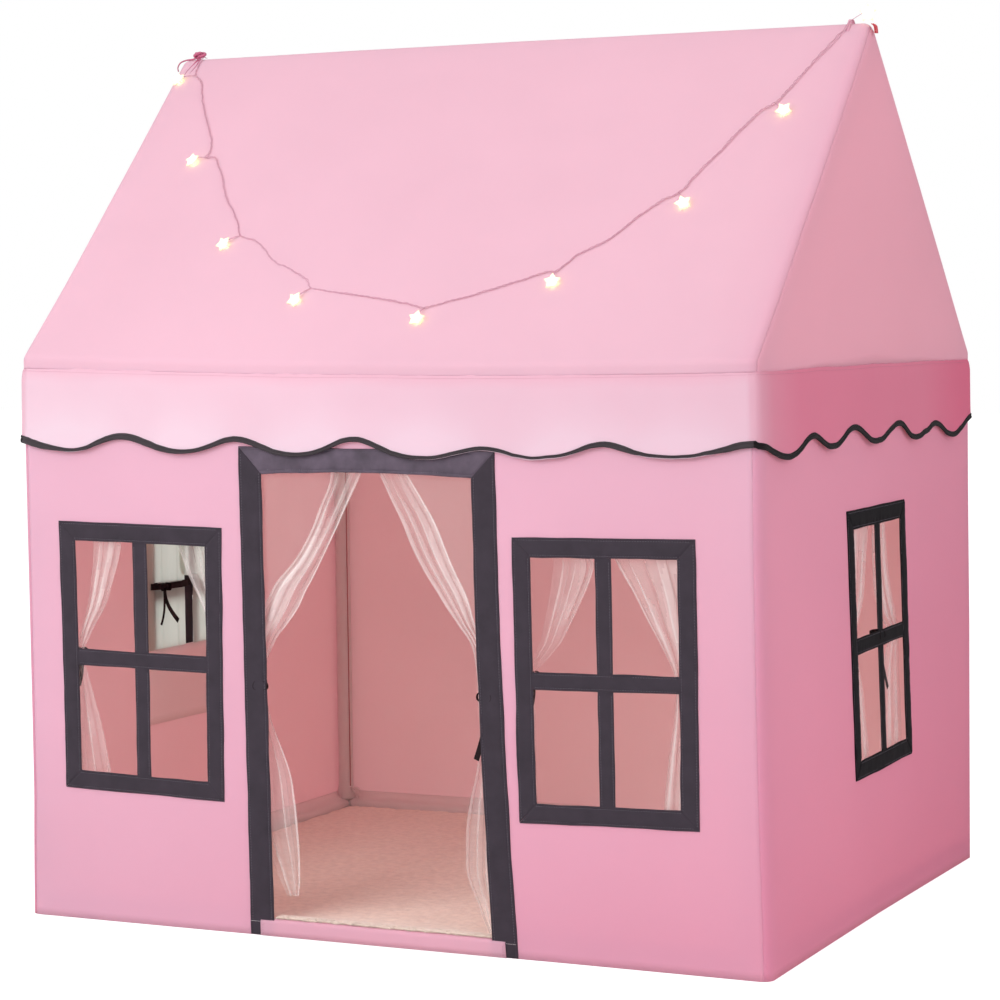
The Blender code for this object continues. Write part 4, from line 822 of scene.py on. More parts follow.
def smooth_line(points, steps):
    """Points of one smooth curve through the given points."""
    line = []
    padded = [2 * points[0] - points[1], *points, 2 * points[-1] - points[-2]]
    for before, first, second, after in zip(padded, padded[1:], padded[2:], padded[3:]):
        for step in range(steps):
            t = step / steps
            line.append(0.5 * (
                2 * first + (second - before) * t
                + (2 * before - 5 * first + 4 * second - after) * t * t
                + (3 * first - before - 3 * second + after) * t * t * t))
    line.append(points[-1])
    return line


def even_line(points, pitch):
    """The same line with its points an even pitch apart."""
    lengths = [0.0]
    for first, second in zip(points, points[1:]):
        lengths.append(lengths[-1] + (second - first).length)
    count = max(1, round(lengths[-1] / pitch))
    line = []
    segment = 0
    for step in range(count + 1):
        goal = lengths[-1] * step / count
        while segment < len(points) - 2 and lengths[segment + 1] < goal:
            segment += 1
        span = lengths[segment + 1] - lengths[segment]
        share = (goal - lengths[segment]) / span if span else 0
        line.append(points[segment].lerp(points[segment + 1], share))
    return line, lengths[-1]


def frames_along(line):
    """A tangent and two cross directions at each point of a line, with no sudden turn."""
    frames = []
    side = None
    for index, point in enumerate(line):
        before = line[max(0, index - 1)]
        after = line[min(len(line) - 1, index + 1)]
        tangent = (after - before).normalized()
        if side is None:
            side = tangent.orthogonal().normalized()
        side = (side - side.dot(tangent) * tangent).normalized()
        frames.append((point, tangent, side, tangent.cross(side)))
    return frames


def skin(faces, base, rings, sides, capped=True):
    """Join rings of points, the first of which is numbered base, with faces and caps."""
    for ring in range(rings - 1):
        low = base + ring * sides
        for step in range(sides):
            after = (step + 1) % sides
            faces.append((low + step, low + after, low + sides + after, low + sides + step))
    if capped:
        faces.append(tuple(base + step for step in reversed(range(sides))))
        faces.append(tuple(base + (rings - 1) * sides + step for step in range(sides)))


def tube(points, faces, line, radius, sides=8, flat=1.0, taper=None):
    """Add a capped tube along a line to the points and faces."""
    base = len(points)
    frames = frames_along(line)
    for index, (point, _, side, up) in enumerate(frames):
        size = radius * (taper(index / max(1, len(frames) - 1)) if taper else 1)
        for step in range(sides):
            angle = math.tau * step / sides
            points.append(point + size * (math.cos(angle) * side + flat * math.sin(angle) * up))
    skin(faces, base, len(frames), sides)


def stitch(points, faces, centre, along, across, out, length, thickness):
    """Add one short raised stitch, pointed at both ends."""
    base = len(points)
    half = length / 2
    for reach, size in ((-half, 0.3), (-half * 0.5, 1.0), (half * 0.5, 1.0), (half, 0.3)):
        for side, rise in ((-0.5, 0.0), (0.5, 0.0), (0.35, 0.8), (-0.35, 0.8)):
            points.append(centre + along * reach + (across * side + out * rise) * thickness * size)
    skin(faces, base, 4, 4)


def sew(points, faces, place, start, end, pitch, sizes, sink=0.0):
    """Add a row of stitches along place(distance), which gives a point and its outward direction."""
    count = int((end - start) / pitch)
    for step in range(count):
        here = start + (step + 0.5) * pitch
        centre, out = place(here)
        after, _ = place(here + pitch / 10)
        along = (after - centre).normalized()
        across = out.cross(along).normalized()
        stitch(points, faces, centre - out * sink, along, across, out, sizes.stitch, sizes.thread)


# The tent's own geometry
WALLS = {
    "front": (0, POST_X, POST_Y, lambda along, out: (along, -out)),
    "right": (1, POST_Y, POST_X, lambda along, out: (out, along)),
    "back": (2, POST_X, POST_Y, lambda along, out: (-along, out)),
    "left": (3, POST_Y, POST_X, lambda along, out: (-out, -along)),
}


def ripple(seed, first, second, size):
    """Smooth noise over a surface, from -1 to 1."""
    return noise.noise(Vector((first / size, second / size, 7.3 * seed)))


def fade(distance, reach):
    """Rise smoothly from 0 at the edge to 1 at the reach."""
    share = max(0.0, min(1.0, distance / reach))
    return share * share * (3 - 2 * share)


def wall_relief(wall, along, up, slack):
    """How far a wall's cloth lies out of its flat plane."""
    number, half, _, _ = WALLS[wall]
    calm = fade(half - abs(along), 0.10) * fade(up, 0.05)
    broad = ripple(number, along, up, 0.28) - 0.5
    small = 0.30 * ripple(number + 9, along + 0.3 * up, up, 0.075)
    return slack * calm * (broad + small)


def on_wall(wall, along, up, lift):
    """A point over a wall's outer face, which rolls round the corner posts at its ends."""
    _, half, out, turn = WALLS[wall]
    over = abs(along) - half
    if over <= 0:
        x, y = turn(along, out + ROLL + lift)
        return Vector((x, y, up))
    angle = over / ROLL
    reach = half + (ROLL + lift) * math.sin(angle)
    x, y = turn(math.copysign(reach, along), out + (ROLL + lift) * math.cos(angle))
    return Vector((x, y, up))


def wall_out(wall, along=0.0):
    """The outward direction of a wall."""
    return (on_wall(wall, along, 0, 1) - on_wall(wall, along, 0, 0)).normalized()


def seam_dip(distance):
    """Depth of the cloth close to a seam."""
    return SEAM_DIP * (1 - fade(distance, SEAM_REACH))


def wall_sheet(context, name, wall, roll, breaks, ups, skip, nodes, cloth="tent cloth"):
    """A wall's cloth with its openings, rolled round its corner posts."""
    slack = context.scene.tent_sizes.ruffle
    _, half, _, _ = WALLS[wall]
    end = half + ROLL * roll
    arc = [end - ROLL * roll * step / 6 for step in range(6)]
    edges = sorted([-end, -half, *breaks, half, end])
    columns = sorted(set(steps_between(edges, CLOTH_PITCH) + arc + [-place for place in arc]))
    columns = [
        place for index, place in enumerate(columns) if index == 0 or place - columns[index - 1] > 1e-5]
    rows = steps_between(ups, CLOTH_PITCH)

    def place(along, up):
        lift = wall_relief(wall, along, up, slack) - seam_dip(end - abs(along))
        return on_wall(wall, along, up, lift - WALL_TUCK * fade(up - (SEAM_Z - TUCK_REACH), TUCK_REACH))

    piece = grid_sheet(name, columns, rows, place, (cloth, "tent lining"), skip)
    give_thickness(piece, context.scene.tent_sizes.cloth, lined=True)
    return mount(piece, "pink_cloth", *nodes)


def opening_of(trim, border, axis):
    """Edges of the hole behind a trim: low and high along the wall, low and high up it."""
    low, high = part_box(trim)
    reach = border - OPENING_LAP
    return low[axis] + reach, high[axis] - reach, low.z + reach, high.z - reach


def inside(box, along, up):
    """True if a place lies in an opening."""
    return box[0] < along < box[1] and box[2] < up < box[3]


class TENT_OT_walls(bpy.types.Operator):
    """Make the front, back and side walls"""
    bl_idname = "tent.walls"
    bl_label = "Walls"

    def execute(self, context):
        top = SEAM_Z - WALL_HEAD
        left = opening_of("window_trim_front_left", WINDOW_BORDER, 0)
        right = opening_of("window_trim_front_right", WINDOW_BORDER, 0)
        reach = DOOR_HALF + OPENING_LAP
        door = (DOOR_CENTRE - reach, DOOR_CENTRE + reach, -1.0, DOOR_TOP + OPENING_LAP)
        # The front wall takes the front cloth with its painted light and shade.
        wall_sheet(
            context, "front_wall", "front", CORNER_ROLL, [*left[:2], *door[:2], *right[:2]],
            sorted([0, *left[2:], door[3], top]),
            lambda along, up: inside(left, along, up) or inside(right, along, up) or inside(door, along, up),
            ["front_wall_left", "front_wall_right", "front_wall_header"], "front cloth")
        wall_sheet(context, "back_wall_cloth", "back", CORNER_ROLL, [], [0, top], None, ["back_wall"])
        for wall, sign in (("right", 1), ("left", -1)):
            low, high, bottom, upper = opening_of(f"window_trim_{wall}", WINDOW_BORDER, 1)
            if wall == "left":
                bottom = LEFT_SILL
            hole = (min(sign * low, sign * high), max(sign * low, sign * high), bottom, upper)
            # The side walls take the side cloth with its painted shade.
            wall_sheet(
                context, f"{wall}_wall_cloth", wall, QUARTER - CORNER_ROLL, [*hole[:2]],
                [0, bottom, upper, top], lambda along, up, hole=hole: inside(hole, along, up),
                [f"{wall}_wall"], "side cloth")
            if wall == "left":
                self.facing(context, hole)
        return {"FINISHED"}

    def facing(self, context, hole):
        """The close cloth sewn round the left window inside, which hides its dark surround and the surround's
        shadow; its colour is painted light, for the light that the wall lets through.
        """
        slack = context.scene.tent_sizes.ruffle
        low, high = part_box("window_trim_left")
        columns = steps_between(
            [-high.y - FACING_REACH, hole[0], hole[1], -low.y + FACING_REACH], CLOTH_PITCH)
        rows = steps_between([low.z - FACING_REACH, hole[2], hole[3], high.z + FACING_REACH], CLOTH_PITCH)

        def place(along, up):
            return on_wall("left", along, up, wall_relief("left", along, up, slack) - FACING_DEPTH)

        piece = grid_sheet(
            "left_wall_facing", columns, rows, place, ("facing cloth",),
            lambda along, up: inside(hole, along, up))
        give_thickness(piece, FACING_CLOTH)
        mount(piece, "pink_cloth")


# Roof
def roof_stations():
    """Tube centres, outward directions and distances over the roof, from eave seam to eave seam."""
    low = [(-POST_Y, SEAM_Z + (EAVE_Z - SEAM_Z) * step / 4, math.pi) for step in range(4)]
    bend = [(-POST_Y, EAVE_Z, math.pi - (QUARTER - SLOPE) * step / 8) for step in range(8)]
    tilt = QUARTER + SLOPE
    count = math.ceil(ROOF_LENGTH / CLOTH_PITCH)
    slope = [
        (-POST_Y * (1 - step / count), EAVE_Z + (RIDGE_Z - EAVE_Z) * step / count, tilt)
        for step in range(count)]
    ridge = [(0.0, RIDGE_Z, tilt - SLOPE * step / 6) for step in range(7)]
    half = low + bend + slope + ridge
    other = [(-y, z, math.pi - angle) for y, z, angle in reversed(half[:-1])]
    return half + other


def roof_relief(x, y, z, slack):
    """How far the roof's cloth lies off its flat slope: puckers over the eave and a light sag."""
    up_slope = math.hypot(POST_Y - abs(y), z - EAVE_Z) if z > EAVE_Z else 0.0
    side = 20 if y < 0 else 21
    calm = fade(POST_X - abs(x), 0.08) * fade(ROOF_LENGTH - up_slope, 0.08)
    broad = slack * calm * (ripple(side, x, up_slope, 0.30) - 0.6)
    small = 0.35 * slack * calm * ripple(side + 3, x + 0.4 * up_slope, up_slope, 0.09)
    gather = math.exp(-up_slope / 0.045) * fade(POST_X - abs(x), 0.05)
    pucker = 0.55 * slack * gather * ripple(side + 6, x, up_slope * 0.25, 0.022)
    return broad + small + pucker


def seam_wander(side, y, z):
    """How far the gable's seam strays round the rafter, as a share of the roof's reach."""
    return 1 + 0.10 * ripple(200 + side, y, z, 0.10) + 0.04 * ripple(204 + side, y, z, 0.03)


def on_roof(x, station, lift):
    """A point over the roof, rolled round the rafters at its sides."""
    y, z, angle = station
    over = max(0.0, abs(x) - POST_X) / ROLL * seam_wander(1 if x > 0 else -1, y, z)
    across = x if not over else math.copysign(POST_X + (ROLL + lift) * math.sin(over), x)
    out = (ROLL + lift) * math.cos(over)
    return Vector((across, y + out * math.cos(angle), z + out * math.sin(angle)))


class TENT_OT_roof(bpy.types.Operator):
    """Make the roof cloth over the ridge and the two gables under its edges"""
    bl_idname = "tent.roof"
    bl_label = "Roof"

    def execute(self, context):
        sizes = context.scene.tent_sizes
        stations = roof_stations()
        end = POST_X + ROLL * ROOF_ROLL
        arc = [end - ROLL * ROOF_ROLL * step / 7 for step in range(7)]
        columns = sorted([*steps_between([-POST_X, POST_X], CLOTH_PITCH), *arc, *[-x for x in arc]])
        rows = list(range(len(stations)))

        def place(x, row):
            station = stations[row]
            lift = roof_relief(x, station[0], station[1], sizes.ruffle)
            lift -= seam_dip(end - abs(x))
            return on_roof(x, station, lift)

        # The roof takes the roof cloth with its painted light and shade.
        roof = grid_sheet("roof_cloth", columns, rows, place, ("roof cloth", "tent lining"))
        give_thickness(roof, sizes.cloth, lined=True)
        mount(roof, "pink_cloth", "roof_front", "roof_back")
        for side, sign in (("right", 1), ("left", -1)):
            mount(self.gable(context, side, sign), "pink_cloth")
        return {"FINISHED"}

    def gable(self, context, side, sign):
        """One gable cloth: a flat field between the rafters with a rolled edge."""
        slack = context.scene.tent_sizes.ruffle
        count = 2 * math.ceil(POST_Y / CLOTH_PITCH)
        points = []
        grid = {}
        for column in range(count + 1):
            y = -POST_Y + 2 * POST_Y * column / count
            top = EAVE_Z + (RIDGE_Z - EAVE_Z) * (1 - abs(y) / POST_Y)
            for level in range(GABLE_ROWS + 1):
                z = SEAM_Z + (top - SEAM_Z) * level / GABLE_ROWS
                calm = fade(top - z, 0.07) * fade(z - SEAM_Z, 0.04)
                lift = slack * calm * (ripple(30 + sign, y, z, 0.25) - 0.5)
                lift -= seam_dip(z - SEAM_Z)
                grid[column, level] = len(points)
                points.append(Vector((sign * (HALF_WIDTH + lift), y, z)))
        faces = []
        for column in range(count):
            for level in range(GABLE_ROWS):
                faces.append((
                    grid[column, level], grid[column + 1, level],
                    grid[column + 1, level + 1], grid[column, level + 1]))
        rim = [(grid[0, level], -POST_Y, points[grid[0, level]].z, math.pi) for level in range(GABLE_ROWS)]
        tilt = QUARTER + SLOPE
        rim += [
            (grid[0, GABLE_ROWS], -POST_Y, EAVE_Z, math.pi + (tilt - math.pi) * step / 6)
            for step in range(6)]
        for column in range(count + 1):
            low = points[grid[column, GABLE_ROWS]]
            if column == count // 2:
                rim += [
                    (grid[column, GABLE_ROWS], 0.0, RIDGE_Z, tilt - 2 * SLOPE * step / 8)
                    for step in range(9)]
                continue
            rim.append((
                grid[column, GABLE_ROWS], low.y, low.z, tilt if column < count / 2 else math.pi - tilt))
        rim += [
            (grid[count, GABLE_ROWS], POST_Y, EAVE_Z, (math.pi - tilt) * (1 - step / 6))
            for step in range(1, 7)]
        rim += [
            (grid[count, level], POST_Y, points[grid[count, level]].z, 0.0)
            for level in range(GABLE_ROWS - 1, -1, -1)]
        rings = [[entry[0] for entry in rim]]
        for step in range(1, 6):
            ring = []
            for _, y, z, direction in rim:
                turn = QUARTER - ROOF_ROLL * seam_wander(sign, y, z)
                angle = turn * step / 5
                dip = seam_dip(ROLL * (turn - angle))
                reach = (ROLL - dip) * math.sin(angle)
                x = POST_X + (ROLL - dip) * math.cos(angle)
                ring.append(len(points))
                points.append(Vector((
                    sign * x, y + reach * math.cos(direction), z + reach * math.sin(direction))))
            rings.append(ring)
        for inner, outer in zip(rings, rings[1:]):
            for index in range(len(rim) - 1):
                corners = [inner[index], outer[index], outer[index + 1], inner[index + 1]]
                if corners[0] == corners[3]:
                    corners = corners[:3]
                faces.append(tuple(reversed(corners)))
        if sign < 0:
            faces = [tuple(reversed(face)) for face in faces]
        piece = new_piece(f"{side}_gable", points, faces, "gable cloth", "tent lining")
        give_thickness(piece, context.scene.tent_sizes.cloth, lined=True)
        return piece


# Valance
# How far its edge strays from even waves, in millimetres: along the front from the left, and along the right
# side from the front
FRONT_STRAY = (
    (-610, -7), (-593, -9.3), (-577, -12), (-560, -9.8), (-544, -5.1), (-528, -1.6), (-503, 0.8), (-479, 4.1),
    (-463, 8), (-446, 10.1), (-430, 9.4), (-414, 6.4), (-398, 2.5), (-382, -1.5), (-358, -4), (-335, -2.3),
    (-303, 2.3), (-272, 5.3), (-241, 7.7), (-225, 6.3), (-210, 2.8), (-195, -1.5), (-179, -5.3), (-157, -7.6),
    (-134, -4.7), (-104, 0.2), (-74, 4.4), (-44, 9.1), (-29, 8.3), (-14, 5.5), (1, 0.2), (16, -4.6),
    (37, -8.4), (59, -7.1), (88, -3.4), (132, -1.8), (175, -4.3), (203, -8.1), (231, -11.2), (259, -7.9),
    (287, -0.1), (315, 2.8), (349, 6.4), (370, 4.6), (383, 1.2), (397, -3.4), (417, -8.2), (437, -7.8),
    (464, -2.3), (491, 2.4), (524, 4.0), (544, 1.0), (557, -2.3), (583, -5.8), (610, -6.5))
SIDE_STRAY = (
    (-521, -6.5), (-503, -6.5), (-486, -8.5), (-462, -9.2), (-442, -6.7), (-412, -2.5), (-382, -1.4),
    (-340, -5.4), (-319, -4.3), (-287, -1.6), (-255, -3.2), (-233, -1.6), (-211, 3.2), (-178, 6.5),
    (-144, 6.6), (-98, 1.4), (-63, -2.8), (-39, -2.8), (-3, 3.5), (33, 3.5), (75, -1.5), (120, 1.2),
    (158, -4.8), (197, 1.0), (224, 2.7), (250, -4), (290, -6.5), (345, -11.8), (387, -4.5), (415, 0.6),
    (473, -3))
# How wide the front tape looks beside its even width, by the place along the front
TAPE_SHARES = (
    (-600, 0.85), (-560, 0.82), (-500, 0.64), (-460, 0.93), (-380, 1.04), (-335, 0.98), (-300, 0.84),
    (-230, 0.88), (-100, 0.85), (100, 0.72), (185, 0.60), (250, 0.46), (290, 0.55), (320, 0.63),
    (345, 0.79), (400, 0.90), (430, 0.54), (465, 0.53), (500, 0.57), (530, 0.65), (560, 0.78), (600, 0.74))


def stray(wall, along):
    """How far the valance's edge lies over its even wave."""
    if wall == "front":
        return np.interp(along * 1000, *zip(*FRONT_STRAY)) / 1000
    if wall == "right":
        return np.interp(along * 1000, *zip(*SIDE_STRAY)) / 1000
    if wall == "left":
        return -0.007 * (1 - fade(WALLS["left"][1] + ROLL * QUARTER / 2 - along, 0.08))
    return 0.0


def valance_places():
    """Stations round the tent: wall, place along it, share of the wall's edge and its waves."""
    places = []
    for wall, waves in (
            ("front", WAVES_FRONT), ("right", WAVES_SIDE), ("back", WAVES_FRONT), ("left", WAVES_SIDE)):
        _, half, _, _ = WALLS[wall]
        end = half + ROLL * QUARTER / 2
        stops = [end - ROLL * QUARTER / 2 * step / 5 for step in range(6)]
        alongs = sorted({*steps_between([-half, half], 0.0075), *stops, *[-stop for stop in stops]})
        for along in alongs[:-1]:
            share = (along / end + 1) / 2
            places.append((wall, along, math.cos(math.tau * waves * share), share))
    return places


def valance_lift(wall, along, wave, share_down, slack):
    """How far the valance stands out, from its seam at share 0 to its edge at share 1."""
    number = WALLS[wall][0]
    drop = share_down * share_down
    swing = VALANCE_SWING * drop * (0.35 + 0.65 * (1 - wave) / 2 + 0.35 * ripple(40 + number, along, 0, 0.16))
    hang = VALANCE_HANG * fade(share_down, 0.22)
    ruffle = slack * fade(share_down, 0.2) * ripple(44 + number, along, share_down * 0.1, 0.06)
    gather = 0.5 * slack * math.exp(-share_down / 0.15) * ripple(48 + number, along, share_down * 0.02, 0.02)
    return CLEARANCE + hang + max(0.0, swing) + 0.6 * abs(ruffle) + abs(gather)


def corner_crease(wall, along):
    """Depth of the sewn crease that each corner of the valance has."""
    _, half, _, _ = WALLS[wall]
    roll = CORNER_ROLL if wall in ("front", "back") else QUARTER - CORNER_ROLL
    away = abs(abs(along) - half - ROLL * roll) / 0.0025
    return 0.0010 * math.exp(-away * away)


class TENT_OT_valance(bpy.types.Operator):
    """Make the scalloped valance and the dark tape along its edge"""
    bl_idname = "tent.valance"
    bl_label = "Valance"

    def execute(self, context):
        sizes = context.scene.tent_sizes
        stations = valance_places()
        top = SEAM_Z + 0.0030
        mean = VALANCE_LOW + WAVE_HEIGHT / 2

        def slim(station):
            """1 along the front, where the tape looks narrow, and 0 at the corners and the sides."""
            return fade(POST_X - abs(station[1]), 0.07) if station[0] in ("front", "back") else 0.0

        def edge(station):
            slack = CREST_SLACK * slim(station) * (1 + station[2]) / 2
            return mean + WAVE_HEIGHT / 2 * station[2] - slack + stray(*station[:2])

        def place(column, row):
            station = stations[column]
            share = row / VALANCE_ROWS
            up = top + (edge(station) + 0.002 - top) * share
            lift = valance_lift(station[0], station[1], station[2], share, sizes.ruffle)
            lift -= corner_crease(station[0], station[1]) + 0.0022 * (1 - fade(top - up, 0.008))
            return on_wall(station[0], station[1], up, lift + sizes.cloth)

        columns = list(range(len(stations)))
        rows = [*range(VALANCE_ROWS, 1, -1), 1.5, 1, 0.6, 0.3, 0]
        # The valance takes the valance cloth with its painted light in front and painted shade on its sides.
        valance = grid_sheet("valance_cloth", columns, rows, place, ("valance cloth",), closed=True)
        give_thickness(valance, sizes.cloth)
        mount(valance, "pink_cloth", "valance")

        # The tape is folded over the edge, with a sewn groove below its upper fold
        section = (
            (0.0, -0.3), (0.05, -1.1), (0.18, -1.75), (0.34, -1.95), (0.48, -1.7), (0.57, -1.05),
            (0.64, -1.05), (0.74, -1.55), (0.86, -1.5), (0.95, -1.0), (1.0, -0.35), (1.0, 0.35), (0.9, 0.8),
            (0.35, 1.0), (0.08, 0.85), (0.0, 0.45))

        def tape_place(column, row):
            station = stations[column]
            before = stations[column - 1]
            after = stations[(column + 1) % len(stations)]
            run = (on_wall(*after[:2], 0, 0) - on_wall(*before[:2], 0, 0)).length
            pitch = (edge(after) - edge(before)) / run
            height, depth = section[row % len(section)]
            wide = VALANCE_TAPE * (1 - slim(station) * (0.42 - 0.20 * (1 + station[2]) / 2))
            wide *= 0.70 if station[0] in ("left", "right") else 1.0
            even = 0.3 * VALANCE_TAPE + 0.3 * wide
            if station[0] == "front":
                wide *= np.interp(station[1] * 1000, *zip(*TAPE_SHARES))
            up = edge(station) + (height - 0.10) * wide * math.sqrt(1 + pitch * pitch) + even - 0.6 * wide
            lift = valance_lift(station[0], station[1], station[2], 1.0 - 0.08 * height, sizes.ruffle)
            wobble = 0.00030 * ripple(60, station[1], WALLS[station[0]][0], 0.012)
            thick = (0.0012 + wobble) * -depth
            return on_wall(station[0], station[1], up, lift + sizes.cloth / 2 + 0.0002 + thick)

        tape = grid_sheet(
            "valance_binding", columns, list(range(len(section) + 1)), tape_place,
            ("valance tape", "side tape"),
            closed=True)
        reshape(tape, lambda shape: bmesh.ops.remove_doubles(shape, verts=shape.verts, dist=1e-6))
        outward_faces(tape)
        # The tape round the sides takes the darker copy, a painted shade.
        for polygon in tape.data.polygons:
            if abs(polygon.center.x) > POST_X + 0.6 * ROLL:
                polygon.material_index = 1
        mount(tape, "dark_trim", "valance_tape")
        self.stitches(context)
        return {"FINISHED"}

    def stitches(self, context):
        """Sew the eave seam round the tent."""
        sizes = context.scene.tent_sizes
        points, faces = [], []
        for wall in WALLS:
            end = WALLS[wall][1] + ROLL * QUARTER / 2

            def seam(distance, wall=wall):
                lift = valance_lift(wall, distance, 0.0, 0.05, sizes.ruffle) + sizes.cloth
                return on_wall(wall, distance, SEAM_Z - 0.0030, lift), wall_out(wall, distance)

            sew(points, faces, seam, -end, end, 0.0036, sizes, 0.0001)
        thread = new_piece("eave_stitches", points, faces, "pink thread")
        mount(thread, "pink_cloth")


def strip(points, faces, place, start, end, inner, outer, height, mitre, seed, gather=0.3):
    """Add one cloth strip with folded edges; mitre cuts its ends to meet its neighbours.

    place(along, across, rise) gives a point. across runs from the inner edge to the outer one,
    and gather is how strongly the inner edge is puckered.
    """
    width = outer - inner
    profile = (
        (0.0, 0.05), (0.012, 0.75), (0.045, 1.0), (0.08, 0.95), (0.105, 0.62), (0.13, 0.62), (0.16, 0.95),
        (0.22, 1.05), (0.3, 1.05), (0.42, 1.0), (0.55, 1.0), (0.7, 1.05), (0.84, 0.95), (0.875, 0.66),
        (0.9, 0.66), (0.925, 0.97), (0.96, 1.0), (0.988, 0.75), (1.0, 0.05))
    count = max(2, math.ceil((end - start) / TRIM_PITCH))
    shares = sorted({0.0, *[step / count for step in range(1, count)], 1.0})
    base = len(points)
    wide = len(profile)
    reach = (end - start) / count
    for layer in (0, 1):
        for number, share in enumerate(shares):
            seam = 0.35 + 0.65 * min(1.0, min(number, len(shares) - 1 - number) * reach / 0.003)
            for across_share, rise in profile:
                across = inner + width * across_share
                first = start + mitre[0] * (across - inner)
                last = end - mitre[1] * (across - inner)
                along = first + (last - first) * share
                sway = TRIM_SWAY * ripple(seed + 8, along, 0, 0.05) * (1 - across_share)
                sway += TRIM_SWAY * ripple(seed + 9, along, 0, 0.06) * across_share
                tick = max(0.0, ripple(seed, along, 0, 0.0042) + 0.1)
                tuck = gather * tick * math.exp(-((across_share - 0.16) / 0.17) ** 2)
                crumple = 1 - 1.5 * tuck + 0.30 * ripple(seed + 5, along, across, 0.022)
                crumple += 0.16 * ripple(seed + 6, along, across, 0.007)
                points.append(place(along, across + sway, height * rise * seam * crumple if layer else 0.0))
    last = len(shares) - 1
    ring = len(shares) * wide
    for number in range(last):
        for step in range(wide - 1):
            low = base + number * wide + step
            faces.append((low, low + 1, low + wide + 1, low + wide))
            top = low + ring
            faces.append((top, top + wide, top + wide + 1, top + 1))
    # Its two long sides and its two ends, as first corner, step along the rim and whether it is turned
    rims = [(number * wide + step, wide, step > 0) for number in range(last) for step in (0, wide - 1)]
    rims += [(number * wide + step, 1, number == 0) for number in (0, last) for step in range(wide - 1)]
    for corner, along, turned in rims:
        low = base + corner
        face = (low, low + along, low + along + ring, low + ring)
        faces.append(tuple(reversed(face)) if turned else face)


def window_frame(name, wall, axis):
    """A window's middle along its wall and up it, and half its width and height, surround included."""
    low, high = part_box(f"window_trim_{name}")
    sign = -1 if wall == "left" else 1
    return (sign * (low[axis] + high[axis]) / 2, (low.z + high.z) / 2,
            (high[axis] - low[axis]) / 2, (high.z - low.z) / 2)


